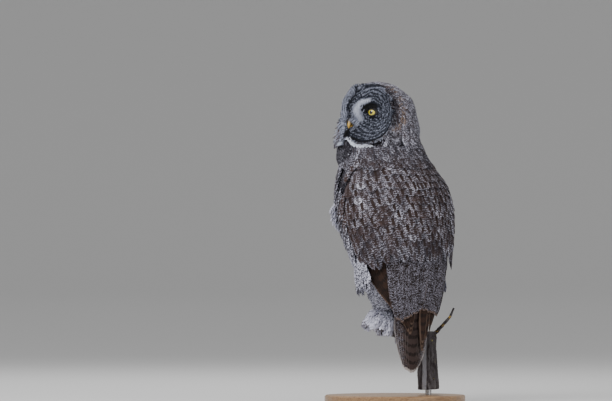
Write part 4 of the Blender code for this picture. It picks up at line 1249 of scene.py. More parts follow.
def build_whiskers(look, settings):
    """Longer loose feathers of the face: white crescents and bars, black chin, bristles by the bill."""
    rng = np.random.default_rng(16)
    shape = leaf(2, 5)
    bars, chins, bristles, crescents = totals = [row[0] for row in WHISKERS.values()]
    side = {name: rng.choice((-1.0, 1.0), total) for name, total in zip(WHISKERS, totals)}
    near = np.where(side["bar"] > 0, rng.uniform(0.007, 0.050, bars), rng.uniform(0.004, 0.028, bars))
    turn = rng.uniform(-0.35, 1.0, bristles) * math.pi
    turn = np.where(side["bristle"] > 0, turn, math.pi - turn)
    high = rng.uniform(0.000, 0.042, crescents)
    off = rng.normal(0, 0.0027, crescents)
    left = np.concatenate((
        side["bar"] * near,
        rng.normal(0, 0.0014, chins),
        rng.uniform(0.0060, 0.0100, bristles) * np.cos(turn),
        side["crescent"] * (crescent(high) + off - 0.002),
    ))
    spread = rng.uniform(-0.0030, 0.0044, bars) * (1.2 - near / 0.06)
    up = np.concatenate((
        moustache(near) + far_lift(side["bar"] * near) + spread,
        rng.uniform(-0.033, -0.021, chins),
        -0.006 + 0.0125 * np.sin(turn),
        high,
    ))
    kind = np.repeat(list(WHISKERS), totals)
    count = len(left)
    here, normal = face_frame(left, up)
    out = HEAD_ASIDE * np.sign(left)[:, None]
    fall = (moustache(np.abs(left)) - moustache(np.abs(left) + 0.004))[:, None] / 0.004
    bristle = kind == "bristle"
    normal = np.where(bristle[:, None], unit(out + UPWARD * 0.3), normal)
    lies = {
        "bar": out - UPWARD * (0.12 + fall),
        "chin": -UPWARD + out * 0.10,
        "bristle": HEAD_AHEAD - UPWARD * 0.70 - out * 0.22,
        "crescent": out * (0.10 + (crescent(up + 0.004) - crescent(up))[:, None] / 0.004) + UPWARD,
    }
    lie = np.zeros_like(here)
    for name in lies:
        lie[kind == name] = lies[name][kind == name]
    length, tip, dark, white = np.repeat(np.array([row[1:] for row in WHISKERS.values()]), totals, axis=0).T
    soft = bell(off, 0.0, 0.0032) * (0.70 + 0.30 * smooth(high, 0.004, 0.018))
    soft = soft * rng.uniform(0.8, 1.1, crescents)
    white[kind == "crescent"] = 0.14 + 0.66 * soft
    dark[kind == "crescent"] = 0.42 - 0.32 * soft
    dark[bristle] = rng.uniform(0.1, 0.9, bristles)
    lie = lie + rng.normal(0, 0.12, here.shape)
    length = length * rng.uniform(0.8, 1.15, count)
    tip = tip * rng.uniform(0.8, 1.1, count)
    here = here - unit(lie) * length[:, None] * 0.3
    sizes = (0.0013, length, 0.0005, tip)
    laid = lay_on_frames(shape, here, normal, lie, sizes, rng, 0.2, outline=oval(0.40, 0.62))
    marks = stack(dark, white, 0.0, rng.random(count))
    material = face_material("whisker_feathers", look)
    return coat_piece("coat_whiskers", shape, laid, marks, face_patch(left, up), material)


def tube_spots(path, radius, spacing, rng, end=1.0):
    """Spots over a tube: place, direction out and lie along it, and shares along and round it."""
    path = np.array([tuple(point) for point in path])
    gaps = np.linalg.norm(np.diff(path, axis=0), axis=1)
    total = gaps.sum()
    stops = np.concatenate(([0], np.cumsum(gaps))) / total

    def spot(share):
        return np.array([np.interp(share, stops, path[:, c]) for c in range(3)])

    spots = []
    for i, share in enumerate(np.arange(0.0, end, spacing / total)):
        along = unit(spot(share + 0.03) - spot(share - 0.03))
        first = unit(np.cross(along, HELPER))
        second = np.cross(along, first)
        count = max(int(math.tau * radius(share) / spacing), 5)
        turn = (np.arange(count) + 0.5 * (i % 2)) * math.tau / count + rng.normal(0, 0.08, count)
        normal = np.cos(turn)[:, None] * first + np.sin(turn)[:, None] * second
        here = spot(share) + normal * radius(share)
        lie = np.broadcast_to(along, normal.shape)
        spots.append((here, normal, lie, np.full(count, share), turn % math.tau))
    return [np.concatenate(part) for part in zip(*spots)]


def build_legs(look, settings):
    """Feathered legs and toes: soft pale feathers with faint bars, shortest on the toes."""
    rng = np.random.default_rng(17)
    material = plumage_material("leg_feathers", look, fineness=1.2, streak_width=0.2)
    pieces = []
    for label in SIDES:
        offset = 0.25 if label == "left" else 0.75
        middle = leg_middle(label, np.linspace(0.10, 1.0, 12))
        here, normal, lie, share, turn = tube_spots(
            middle, lambda t: leg_half(0.1 + 0.9 * t) - 0.003, 0.0058, rng,
        )
        count = len(here)
        shape = leaf(2, 6)
        sizes = (
            0.0042 * rng.uniform(0.8, 1.2, count), 0.022 * rng.uniform(0.8, 1.2, count),
            -0.001, 0.0045 + 0.003 * rng.random(count),
        )
        laid = lay_on_frames(shape, here, normal, lie, sizes, rng, 0.2)
        marks = stack(0.10 * rng.random(count), 0.62 + 0.20 * rng.random(count), 0.05, rng.random(count))
        patch = stack(offset + (turn / math.tau - 0.5) * 0.45, 0.55 + share * 0.4)
        pieces.append(coat_piece(f"coat_leg_{label}", shape, laid, marks, patch, material))
        shape = leaf(2, 4)
        everything = []
        toes = list(toe_paths(label))
        webs = [[(a + b) / 2 for a, b in zip(*pair)] for pair in (toes[:2], toes[2:])]
        if label == "left":
            webs.append([(a + b) / 2 + ARM_ALONG * 0.008 for a, b in zip(toes[0], toes[2])])
        for n, (path, end) in enumerate([(path, 1.0) for path in toes] + [(path, 0.85) for path in webs]):
            spots = tube_spots(path, lambda t: TOE_RADIUS - 0.0015 - 0.0012 * t, 0.0027, rng, end)
            spots[4] = spots[4] + n * math.tau
            everything.append(spots)
        here, normal, lie, share, turn = [np.concatenate(part) for part in zip(*everything)]
        count = len(here)
        sizes = (
            0.0024 * rng.uniform(0.8, 1.2, count), 0.0130 * rng.uniform(0.8, 1.2, count),
            -0.0005, 0.0065 + 0.0040 * rng.random(count),
        )
        laid = lay_on_frames(shape, here, normal, lie, sizes, rng, 0.03)
        marks = stack(0.0, 1.35 + 0.25 * rng.random(count), 0.0, rng.random(count))
        patch = stack(offset + (turn / math.tau / 7 - 0.5) * 0.45, 0.05 + share * 0.4)
        pieces.append(coat_piece(f"coat_toes_{label}", shape, laid, marks, patch, material))
    return pieces


def vane_width(t):
    """A flight feather's width along it: narrower at the root, with a rounded tip."""
    end = np.clip((t - 0.60) / 0.40, 0, 1)
    return (0.5 + 0.5 * smooth(t, 0.0, 0.3)) * np.sqrt(1 - 0.94 * end**2)


def lay_vanes(shape, place, lines, half, depth, tilt, rng, thick=0.0004, belly=0.0012):
    """Flight feathers along middle lines. A line turns shares of the length into a sideways place and
    a height, and place turns those and a depth into a point."""
    s, t, k = shape["s"], shape["t"], shape["k"]
    s = np.sign(s) * np.abs(s) ** 1.5
    width = vane_width(t)
    points, reaches = [], []
    for n, line in enumerate(lines):
        spread = half[n] * width
        share = t + rng.normal(0, 0.0022, len(t)) * smooth(t, 0.70, 1.0)
        aside, height = line(share)
        ahead, lower = line(share + 0.02)
        before, upper = line(share - 0.02)
        run = np.hypot(ahead - before, lower - upper)
        aside_at = aside + (upper - lower) / run * s * spread
        height_at = height + (ahead - before) / run * s * spread
        level = depth[n] + tilt * s * width - belly * s**2 + k * thick * (1 - 0.35 * t)
        level = level + np.where(k > 0, 0.0005, 0.0) * bell(s, 0.0, 0.08) * (1 - 0.75 * t)
        points.append(place(aside_at, height_at, level))
        reaches.append(stack(s * spread, t * np.hypot(aside[-1] - aside[0], FLIGHT_ROOT - height.min())))
    return np.stack(points), np.stack(reaches)


def straight(start, end, bow=0.0):
    """A feather's middle line from one place to another, bowed sideways."""
    def line(t):
        aside = start[0] + (end[0] - start[0]) * t + bow * np.sin(math.pi * np.clip(t, 0, 1) ** 0.8)
        return aside, start[1] + (end[1] - start[1]) * t

    return line


def vane_cells(count, row):
    """Places for long vanes side by side on the map of their colours."""
    return stack(0.03 + (np.arange(count) + 0.5) / count * 0.94, row)


def wing_piece(kind, label, shape, laid, marks, material):
    """The secondaries or the primaries of one wing."""
    cells = vane_cells(len(marks), 0.35 if label == "left" else 0.85)
    nodes = [f"wing_{label}_{kind}"]
    return coat_piece(f"vanes_{kind}_{label}", shape, laid, marks, cells, material, nodes, (0.045, 0.28))


def build_secondaries(look, settings):
    """Secondaries and tertials of both wings, which fold over the rump."""
    rng = np.random.default_rng(21)
    shape = leaf(8, 30)
    total = settings.secondaries
    pieces = []
    material = flight_material("secondary_feathers", look, look.bar_pale, look.dark, look.edge, 1.55, 1.0)
    for label, side in SIDES.items():
        lines, half, depth = [], [], []
        for k in range(total):
            share = k / (total - 1)
            over = 0.0125 * (1 - share) if side > 0 else 0.0
            fan = 0.0 if side > 0 else share
            root = (side * (0.0135 + 0.0725 * share + 0.0090 * fan) - over, FLIGHT_ROOT)
            out = 0.0125 + 0.033 * share + 0.0200 * fan
            rise = 0.198 + 0.012 * math.cos(3.0 * share + 0.4) + 0.016 * fan
            tip = (side * out - over, rise + rng.normal(0, 0.002))
            lines.append(straight(root, tip, side * 0.004 * share))
            half.append(0.0112 + rng.normal(0, 0.0003))
            depth.append(-0.0078 + 0.0003 * (k % 2) + (0.0016 if side > 0 else 0.0) * (1 - share))
        laid = lay_vanes(shape, wing_point, lines, half, depth, -side * settings.flight_tilt, rng, 0.0006)
        t = shape["t"]
        panel, pale = 1.0 - 0.25 * smooth(t, 0.80, 1.0), 0.25 + 0.5 * smooth(t, 0.93, 0.98)
        marks = stack(panel, pale, 0.3, rng.random(total)[:, None])
        pieces.append(wing_piece("secondaries", label, shape, laid, marks, material))
    return pieces


def build_primaries(look, settings):
    """Primaries of both wings, which run down the wing's front edge to the wing's point."""
    rng = np.random.default_rng(22)
    shape = leaf(8, 36)
    total = settings.primaries
    pieces = []
    material = flight_material(
        "primary_feathers", look, look.flight_brown, look.bar_brown, look.edge, 2.1, 0.6, 0.6, rim=0.77,
    )
    for label, side in SIDES.items():
        lines = []
        for k in range(total):
            tip = np.interp(k / (total - 1) * 4, range(5), PRIMARY_TIPS) + rng.normal(0, 0.001)
            tip -= 0.040 * smooth(k, 3.4, 5.2) if side < 0 else 0.0
            fan = 0.0030 * (1 - k / total) if side > 0 else 0.0110 + 0.0470 * (1 - smooth(k, 1.5, 5.5))
            inset = 0.0075 + 0.0095 * k

            def line(t, tip=tip, inset=inset, fan=fan):
                height = FLIGHT_ROOT + (tip - FLIGHT_ROOT) * t
                front = wing_front(height) * girth(height)
                aside = front - inset * girth(height) / girth(FLIGHT_ROOT)
                return side * np.maximum(aside, PRIMARY_MIDLINE + fan * smooth(t, 0.40, 0.95)), height

            lines.append(line)
        half = [(0.0096 if side > 0 else 0.0115) + 0.0004 * (k % 2) for k in range(total)]
        depth = [PRIMARY_DEPTH + 0.00066 * k for k in range(total)]
        laid = lay_vanes(shape, wing_point, lines, half, depth, 0.0, rng, belly=0.0010)
        order = np.arange(total)[:, None]
        brown = np.where(order < 4, 1.0, 0.5) * (1 - 0.5 * smooth(shape["t"], 0.72, 0.9))
        marks = stack(0.0, np.where(order == 0, 1.0, 0.6), brown, rng.random(total)[:, None])
        pieces.append(wing_piece("primaries", label, shape, laid, marks, material))
    return pieces


def build_tail(look, settings):
    """Tail feathers, six on each side, the middle pair on top."""
    rng = np.random.default_rng(23)
    shape = leaf(8, 40)
    order = np.array([-5.5, 5.5, -4.5, 4.5, -3.5, 3.5, -2.5, 2.5, -1.5, 1.5, -0.5, 0.5]) * 0.52
    lines, half, depth = [], [], []
    for n, k in enumerate(order):
        root = (0.0080 * k, TAIL_TOP - 0.006)
        tip = (0.0080 * k, TAIL_TIP + 0.0028 * k * k + rng.normal(0, 0.0012))
        lines.append(straight(root, tip, 0.0044 * k))
        half.append(0.0138)
        depth.append(TAIL_DEPTH - 0.0004 - 0.00155 * abs(k) - 0.0003 * (n % 2))
    laid = lay_vanes(shape, back_point, lines, half, depth, 0.0, rng)
    panel = 0.42 + 0.25 * smooth(np.abs(order), 0.5, 2.4)[:, None]
    marks = stack(panel, 0.35 + 0.55 * smooth(shape["t"], 0.85, 0.97), 0.5, rng.random(12)[:, None])
    material = flight_material(
        "tail_feathers", look, look.tail_ground, look.bar_brown, look.edge_white, 2.4, 0.75, edge_from=0.7,
    )
    return coat_piece("vanes_tail", shape, laid, marks, vane_cells(12, 0.5), material, ["tail"], (0.06, 0.8))


# Eyes and bill

def eye_frame(side):
    """The centre of an eye, the way it looks, and the direction to its side."""
    turn = HEAD_TURN + side * EYE_SPLAY
    centre = head_world(np.array((EYE_FORWARD, side * EYE_APART, EYE_UP)))
    axis = np.array((math.cos(turn), math.sin(turn), 0.0))
    return centre, axis, np.cross((0.0, 0.0, 1.0), axis)


def eye_material(name, look, side):
    """A yellow iris with fine spokes, a dark pupil and a dark rim, under a clear wet surface."""
    centre, axis, _ = eye_frame(side)
    paint = Paint(name, roughness=0.12, **{"Coat Weight": 1.0, "Coat Roughness": 0.02})
    away = paint.vector("SUBTRACT", paint.place(), tuple(centre))
    turned = paint.vector("CROSS_PRODUCT", away, tuple(axis))
    radius = paint.vector("LENGTH", turned, output=1) * 1000.0
    spokes = paint.noise(paint.vector("NORMALIZE", turned), 9.0, 3.0, 0.7)
    fine = paint.noise(paint.place(), 900.0, 2.0)
    iris = paint.mix(look.iris, look.iris_deep, paint.step(radius + (spokes - 0.5) * 3.0, 6.4, 8.6))
    iris = paint.mix(iris, look.iris_light, paint.step(spokes + (fine - 0.5) * 0.5, 0.50, 0.75) * 0.35)
    iris = paint.mix(iris, look.iris_deep, paint.step(radius, 5.2, 4.1) * 0.7)
    eye = paint.mix((0.002, 0.002, 0.002), iris, paint.step(radius, 3.90, 4.15))
    eye = paint.mix(eye, (0.004, 0.003, 0.003), paint.step(radius + (fine - 0.5) * 0.5, 8.7, 9.3))
    return paint.finish(colour=eye)


def build_eyes(look, settings):
    """Both eyeballs, with the low dome of the cornea in front."""
    pieces = []
    for label, side in SIDES.items():
        centre, axis, aside = eye_frame(side)

        def place(turn, share, closing):
            front = -math.cos(share * math.pi)
            dome = 0.0013 * max(0.0, (front - 0.70) / 0.30) ** 0.8
            flat = closing * (math.cos(turn) * aside + math.sin(turn) * UPWARD)
            return Vector(centre + (EYE_RADIUS + dome) * (flat + front * axis))

        material = eye_material(f"eye_{label}", look, side)
        ball = spindle(48, 40, place)
        pieces.append(piece_from(f"eye_ball_{label}", ball, material, [f"eye_{label}"]))
    return pieces


def ring(turns, sides, place):
    """A closed ring: the points of a torus, moved to where place puts each turn and spin."""
    builder = bmesh.new()
    bmesh.ops.create_circle(builder, segments=sides, radius=0.3)
    bmesh.ops.rotate(builder, verts=builder.verts, matrix=Matrix.Rotation(math.pi / 2, 3, "X"))
    bmesh.ops.translate(builder, verts=builder.verts, vec=(1, 0, 0))
    bmesh.ops.spin(
        builder, geom=builder.verts[:] + builder.edges[:], cent=(0, 0, 0), axis=(0, 0, 1), dvec=(0, 0, 0),
        angle=math.tau, steps=turns, use_merge=True, use_duplicate=False,
    )
    for vertex in builder.verts:
        turn = math.atan2(vertex.co.y, vertex.co.x)
        spin = math.atan2(vertex.co.z, math.hypot(vertex.co.x, vertex.co.y) - 1)
        vertex.co = place(turn, spin)
    return builder


def lid_edge(turn, settings):
    """How far the lids' opening reaches from the middle of the eye."""
    high = settings.lid_height * (0.86 if math.sin(turn) > 0 else 1.0)
    return 1 / math.hypot(math.cos(turn) / settings.lid_width, math.sin(turn) / high)


def build_lids(look, settings):
    """Dark lids that hug each eye and slope back into the feathers."""
    paint = Paint("lid_skin", roughness=0.5)
    fleck = paint.noise(paint.place(), 700.0, 3.0)
    dark = paint.mix((0.006, 0.005, 0.005), (0.022, 0.019, 0.019), fleck)
    material = paint.finish(colour=dark, normal=paint.bump(fleck, 0.5, 0.0004))
    pieces = []
    for label, side in SIDES.items():
        centre, axis, aside = eye_frame(side)

        def place(turn, spin):
            edge = lid_edge(turn, settings)
            rim = math.sqrt((EYE_RADIUS + 0.0003) ** 2 - edge**2)
            stops = (
                (-1.00, edge + 0.0002, rim - 0.0035), (-0.75, edge - 0.0001, rim - 0.0006),
                (-0.5, edge + 0.0003, rim + 0.0010), (-0.25, edge + 0.0013, rim + 0.0009),
                (0.0, edge + 0.0034, rim - 0.0018), (0.25, edge + 0.0065, min(rim - 0.0058, 0.0015)),
                (0.5, edge + 0.0070, -0.004), (0.75, edge + 0.004, -0.005),
                (1.00, edge + 0.0002, rim - 0.0035),
            )
            shares, outs, heights = zip(*stops)
            out = np.interp(spin / math.pi, shares, outs)
            ahead = np.interp(spin / math.pi, shares, heights)
            return Vector(centre + out * (math.cos(turn) * aside + math.sin(turn) * UPWARD) + ahead * axis)

        pieces.append(piece_from(f"lids_{label}", ring(56, 16, place), material))
    return pieces


def bill_half(rows, sides, steps, ridge):
    """Half of the bill as a closed form along a table of (forward, up, half width, half height)."""
    numbered = [(i, *row) for i, row in enumerate(rows)]
    last = len(rows) - 1

    def place(turn, share, closing):
        run = min(max((share - 0.04) / 0.94, 0.0), 1.0) * last
        forward, up, half_width, half_height = table_curve(numbered, run)
        ahead = table_curve(numbered, min(run + 0.05, last))
        before = table_curve(numbered, max(run - 0.05, 0))
        lean = math.atan2(ahead[1] - before[1], ahead[0] - before[0])
        shrink = min(1.0, closing / math.sin(math.pi * 0.04)) if share < 0.5 else min(1.0, closing / 0.16)
        high = math.sin(turn)
        wide = math.cos(turn) * (1 - ridge * max(high, 0.0) ** 2)
        rise = half_height * high * shrink
        return Vector(head_world(np.array((
            forward - rise * math.sin(lean), half_width * wide * shrink, up + rise * math.cos(lean),
        ))))

    return spindle(sides, steps, place)


def build_bill(look, settings):
    """Both halves of the bill, yellow, with faint growth lines and a darker edge."""
    paint = Paint("bill_horn", roughness=0.32, **{"Coat Weight": 0.3})
    place = paint.place()
    grown = paint.noise(paint.mapped(place, scale=(1, 1, 4)), 220.0, 3.0)
    away = paint.vector("SUBTRACT", place, tuple(HEAD_CENTRE))
    beside = paint.vector("DOT_PRODUCT", away, tuple(HEAD_ASIDE), output=1)
    yellow = paint.mix(look.bill, look.bill_deep, paint.step(grown, 0.40, 0.72))
    # Darker olive towards both sides of the bill
    horn = paint.mix(yellow, look.bill_base, paint.step(abs(beside), 0.0026, 0.0046) * 0.85)
    material = paint.finish(colour=horn, normal=paint.bump(grown, 0.15, 0.0003))
    upper = piece_from("bill_over", bill_half(BILL_UPPER, 36, 40, 0.45), material, ["bill_upper"])
    lower = piece_from("bill_under", bill_half(BILL_LOWER, 28, 28, 0.0), material, ["bill_lower"])
    return [upper, lower]


def build_claws(look, settings):
    """Eight curved black claws, which come out of the toes' feathers."""
    paint = Paint("claw_horn", roughness=0.28, **{"Coat Weight": 0.4})
    grown = paint.noise(paint.place(), 400.0, 2.0)
    material = paint.finish(colour=paint.mix((0.008, 0.008, 0.009), (0.035, 0.032, 0.030), grown))
    pieces = []
    for label in SIDES:
        for number, path in enumerate(toe_paths(label), start=1):
            ahead = (path[-1] - path[-2]).normalized()
            inward = (arm_point((path[-1] - ARM_MIDDLE).dot(ARM_ALONG), 0, 0) - path[-1]).normalized()
            curve = []
            for k in range(9):
                t = k / 8
                hook = inward * (CLAW_HOOK * t * t * 1.1 - 0.0015)
                curve.append(path[-1] + ahead * (CLAW_LENGTH * t - 0.002) + hook)
            builder = tube_along(curve, lambda run: 0.0029 * (1 - run) ** 0.75 + 0.0003, 16, 24)
            node = f"claw_{label}_{number}"
            pieces.append(piece_from(f"curved_{node}", builder, material, [node]))
    return pieces


# Perch and stand

def bark_material(name, look, along, strip=0.0, moss=0.0, lichen=None):
    """Rough bark with long fissures, a pale strip of painted highlight where asked for, and patches of
    lichen.
    """
    paint = Paint(name, roughness=0.95, **{"Specular IOR Level": 0.15})
    place = paint.place()
    turned = Vector((0, 0, 1)).rotation_difference(along).inverted().to_euler()
    grain = paint.mapped(place, scale=(1, 1, 1), rotation=tuple(turned))
    grain = paint.vector("MULTIPLY", grain, (1.0, 1.0, 0.22))
    cracks = paint.noise(grain, 190.0, 5.0, 0.62, 0.8)
    plates = paint.noise(grain, 60.0, 4.0, 0.6, 0.4)
    fine = paint.noise(place, 700.0, 4.0, 0.7)
    bark = paint.mix(look.bark_dark, look.bark, paint.step(cracks + (fine - 0.5) * 0.25, 0.36, 0.60))
    bark = paint.mix(bark, look.bark_pale, paint.step(plates + (fine - 0.5) * 0.3, 0.50, 0.72) * 0.75)
    height = cracks * 1.0 + plates * 0.8 + fine * 0.25
    if strip:
        # Painted highlight: a pale band on the raised plates at a fixed place across the picture, down the
        # limb's lit side
        across = paint.vector("DOT_PRODUCT", place, tuple(VIEW_ACROSS), output=1)
        painted_highlight = paint.step(abs(across - strip + (plates - 0.5) * 0.010), 0.0058, 0.0034)
        bark = paint.mix(bark, look.wood_pale, painted_highlight * paint.step(cracks, 0.30, 0.45) * 0.9)
    grown = paint.noise(place, 85.0, 4.0, 0.65) + (fine - 0.5) * 0.35
    bark = paint.mix(bark, lichen or look.lichen, paint.step(grown, 0.66 - moss, 0.72 - moss))
    return paint.finish(colour=bark, normal=paint.bump(height, 0.9, 0.003))


def bark_rough(scale, depth, seed):
    """How far the bark stands out from a smooth limb: ridges along it, broken across."""
    def rough(run, turn, out):
        wide = noise.noise(Vector((math.cos(turn) * 2.2 + seed, math.sin(turn) * 2.2, run * scale)))
        ridge = noise.noise(Vector((math.cos(turn) * 7 + seed, math.sin(turn) * 7, run * scale * 2.1)))
        small = noise.noise(Vector((math.cos(turn) * 16, math.sin(turn) * 16 + seed, run * scale * 7)))
        return depth * (0.6 * wide + 0.45 * (abs(ridge) - 0.3) + 0.22 * small) * min(1.0, out / 0.004)

    return rough


def build_perch(look, settings):
    """The cut length of limb, its broken arm and the thin twig."""
    depth = settings.bark_depth
    trunk = tube_along(
        [TRUNK_FOOT.lerp(TRUNK_TOP, k / 8) for k in range(9)],
        lambda run: TRUNK_RADIUS * (1 - 0.10 * run + 0.03 * math.sin(9 * run)) - 0.0004, 120, 110,
        bark_rough(5.0, depth, 3.0),
    )
    # The trunk gets a painted highlight strip down its lit side
    trunk_bark = bark_material("trunk_bark", look, TRUNK_TOP - TRUNK_FOOT, strip=settings.strip_place)
    pieces = [piece_from("perch_limb", trunk, trunk_bark, ["perch_trunk"])]
    taper = (
        (-0.066, 1.0), (-0.05, 1.0), (-0.03, 0.99), (0.0, 0.97), (0.03, 0.96), (0.06, 0.94), (0.080, 0.86),
    )
    reach = ARM_REACH - ARM_START
    arm = tube_along(
        [arm_point(ARM_START + reach * k / 10, 0, 0) for k in range(11)],
        lambda run: ARM_RADIUS * read(taper, ARM_START + reach * run), 96, 110,
        bark_rough(6.0, depth * 0.8, 8.0),
    )
    arm_bark = bark_material("arm_bark", look, ARM_ALONG)
    pieces.append(piece_from("perch_stub", arm, arm_bark, ["perch_arm"]))
    thin = ((0.0, 1.5), (0.25, 1.25), (0.5, 1.0), (0.75, 0.85), (1.0, 0.55))
    twig = tube_along(
        TWIG_PATH, lambda run: TWIG_RADIUS * read(thin, run), 24, 90, bark_rough(14.0, 0.0016, 5.0),
    )
    along = Vector((-0.6, 0.4, 0.7))
    twig_bark = bark_material("twig_bark", look, along, moss=0.10, lichen=look.lichen_orange)
    pieces.append(piece_from("perch_spray", twig, twig_bark, ["perch_twig"]))
    return pieces


def build_stand(look, settings):
    """Materials for the stand's two solids: varnished oak and brushed steel."""
    paint = Paint("stand_oak", roughness=0.38, **{"Coat Weight": 0.25, "Coat Roughness": 0.15})
    place = paint.place()
    grain = paint.noise(paint.mapped(place, scale=(1.0, 9.0, 9.0)), 26.0, 5.0, 0.6, 0.8)
    pores = paint.noise(paint.mapped(place, scale=(1.0, 14.0, 14.0)), 160.0, 2.0)
    oak = paint.mix(look.oak, look.oak_dark, paint.step(grain + (pores - 0.5) * 0.3, 0.38, 0.68))
    oak_material = paint.finish(colour=oak, normal=paint.bump(grain + pores * 0.4, 0.12, 0.0006))
    paint = Paint("stand_steel", roughness=0.34, Metallic=1.0)
    drawn = paint.noise(paint.mapped(paint.place(), scale=(1.0, 1.0, 0.03)), 1800.0, 2.0)
    steel = paint.mix((0.36, 0.36, 0.37), (0.52, 0.52, 0.53), drawn)
    steel_material = paint.finish(colour=steel, normal=paint.bump(drawn, 0.1, 0.0002))
    for node, material in (("stand_base", oak_material), ("stand_rod", steel_material)):
        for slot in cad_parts[node].material_slots:
            slot.material = material


# Stage

def build_stage(look, settings):
    """A pale floor that curves up into a wall, soft studio lights and the camera."""
    view_from, view_across = Vector(VIEW_FROM), Vector(VIEW_ACROSS)
    builder = bmesh.new()
    bmesh.ops.create_circle(builder, cap_ends=True, segments=96, radius=settings.floor_reach)
    edges = [edge for edge in builder.edges if edge.is_boundary]
    bends = 12
    rise = 6.0
    for k in range(bends):
        turn = (k + 1) / bends * math.pi / 2
        made = bmesh.ops.extrude_edge_only(builder, edges=edges)["geom"]
        verts = [item for item in made if isinstance(item, bmesh.types.BMVert)]
        edges = [item for item in made if isinstance(item, bmesh.types.BMEdge)]
        radius = settings.floor_reach + rise * math.sin(turn)
        for vertex in verts:
            flat = Vector((vertex.co.x, vertex.co.y, 0)).normalized() * radius
            vertex.co = (flat.x, flat.y, rise * (1 - math.cos(turn)))
    paint = Paint("stage_grey", roughness=0.9)
    grey = paint.finish(colour=paint.rgba(settings.floor_colour))
    floor = object_from("stage_floor", builder, grey)
    link(floor)
    world = bpy.data.worlds.new("studio")
    world.use_nodes = True
    background = world.node_tree.nodes["Background"]
    background.inputs["Color"].default_value = (1.0, 1.0, 1.0, 1.0)
    background.inputs["Strength"].default_value = settings.world_light
    bpy.context.scene.world = world
    middle = view_across * VIEW_MIDDLE[0] + Vector((0, 0, VIEW_MIDDLE[1]))
    # Towards the camera, across, up, and size, in metres
    lights = (
        ("key", 2.2, -1.5, 2.3, 2.2, settings.key_light),
        ("fill", 2.4, 2.4, 0.9, 2.4, settings.fill_light),
        ("back", -2.0, -0.6, 2.6, 1.8, settings.back_light),
    )
    for name, ahead, across, up, size, power in lights:
        place = view_from * ahead + view_across * across + Vector((0, 0, up))
        lamp = bpy.data.lights.new(name, "AREA")
        lamp.shape = "DISK"
        lamp.size = size
        lamp.energy = power
        light = bpy.data.objects.new(name, lamp)
        light.location = place
        light.rotation_euler = (Vector((0, 0, 0.4)) - place).to_track_quat("-Z", "Y").to_euler()
        link(light)
    lens = bpy.data.cameras.new("camera")
    lens.lens = settings.lens
    lens.sensor_width = 36
    camera = bpy.data.objects.new("camera", lens)
    camera.location = middle + view_from * settings.camera_distance
    camera.rotation_euler = (middle - camera.location).to_track_quat("-Z", "Y").to_euler()
    lens.clip_end = 100
    link(camera)
    bpy.context.scene.camera = camera


# Settings

def colour(name, description, value):
    """A colour that the panel shows."""
    return FloatVectorProperty(
        name=name, description=description, subtype="COLOR", size=3, default=value, min=0, max=1,
    )


def length(name, description, value):
    """A length that the panel shows."""
    return FloatProperty(name=name, description=description, default=value, unit="LENGTH", precision=4)


def power(name, description, value):
    """A light's power that the panel shows."""
    return FloatProperty(name=name, description=description, default=value, unit="POWER")


def amount(name, description, value):
    """A whole number that the panel shows."""
    return IntProperty(name=name, description=description, default=value, min=2)


class OwlLook(bpy.types.PropertyGroup):
    """Colours of the model."""

    grey: colour("Grey", "Mid grey of the plumage", (0.175, 0.168, 0.205))
    pale: colour("Pale", "Pale flecks and bars of the plumage", (0.60, 0.60, 0.71))
    dark: colour("Dark", "Dark flecks between the pale ones", (0.030, 0.027, 0.036))
    brown: colour("Brown", "Brown of wings, mantle and rim", (0.050, 0.030, 0.026))
    buff: colour("Buff", "Buff flecks beside the facial disc", (0.33, 0.24, 0.185))
    streak: colour("Streak", "Dark streak along a feather", (0.022, 0.015, 0.014))
    face_pale: colour("Face pale", "Pale rings of the facial disc", (0.31, 0.33, 0.42))
    face_dark: colour("Face dark", "Dark rings of the facial disc", (0.012, 0.014, 0.022))
    white: colour("White", "White bars and crescents of the face", (0.57, 0.60, 0.70))
    bar_white: colour("Bar white", "White bars below the disc", (0.76, 0.80, 0.90))
    bar_pale: colour("Pale bars", "Pale flecks of the flight feathers", (0.245, 0.235, 0.290))
    edge: colour("Edge", "Pale edge of the flight feathers", (0.16, 0.105, 0.078))
    edge_white: colour("White edge", "Pale edge of the tail feathers", (0.42, 0.38, 0.36))
    flight_brown: colour("Flight brown", "Ground of the primaries", (0.036, 0.020, 0.015))
    bar_brown: colour("Dark bars", "Dark bars of primaries and tail", (0.016, 0.011, 0.010))
    tail_ground: colour("Tail", "Ground of the tail feathers", (0.052, 0.035, 0.032))
    iris: colour("Iris", "Yellow of the eye", (0.72, 0.60, 0.035))
    iris_light: colour("Iris light", "Light spokes of the iris", (0.84, 0.76, 0.11))
    iris_deep: colour("Iris deep", "Deep yellow at the iris's edges", (0.42, 0.30, 0.012))
    bill: colour("Bill", "Yellow of the bill", (0.60, 0.37, 0.055))
    bill_deep: colour("Bill deep", "Darker yellow of the bill", (0.36, 0.21, 0.045))
    bill_base: colour("Bill sides", "Darker olive at the sides of the bill", (0.105, 0.090, 0.060))
    bark: colour("Bark", "Grey bark", (0.062, 0.055, 0.059))
    bark_dark: colour("Bark dark", "Fissures of the bark", (0.020, 0.015, 0.015))
    bark_pale: colour("Bark pale", "Pale plates of the bark", (0.19, 0.18, 0.185))
    # The colour of the painted highlight strip on the trunk
    wood_pale: colour("Painted highlight", "Painted highlight strip of the limb", (0.25, 0.25, 0.275))
    lichen: colour("Lichen", "Yellow-green lichen", (0.34, 0.31, 0.08))
    lichen_orange: colour("Orange lichen", "Lichen of the twig", (0.42, 0.27, 0.06))
    oak: colour("Oak", "Wood of the stand", (0.34, 0.20, 0.095))
    oak_dark: colour("Oak dark", "Dark grain of the stand", (0.19, 0.10, 0.045))


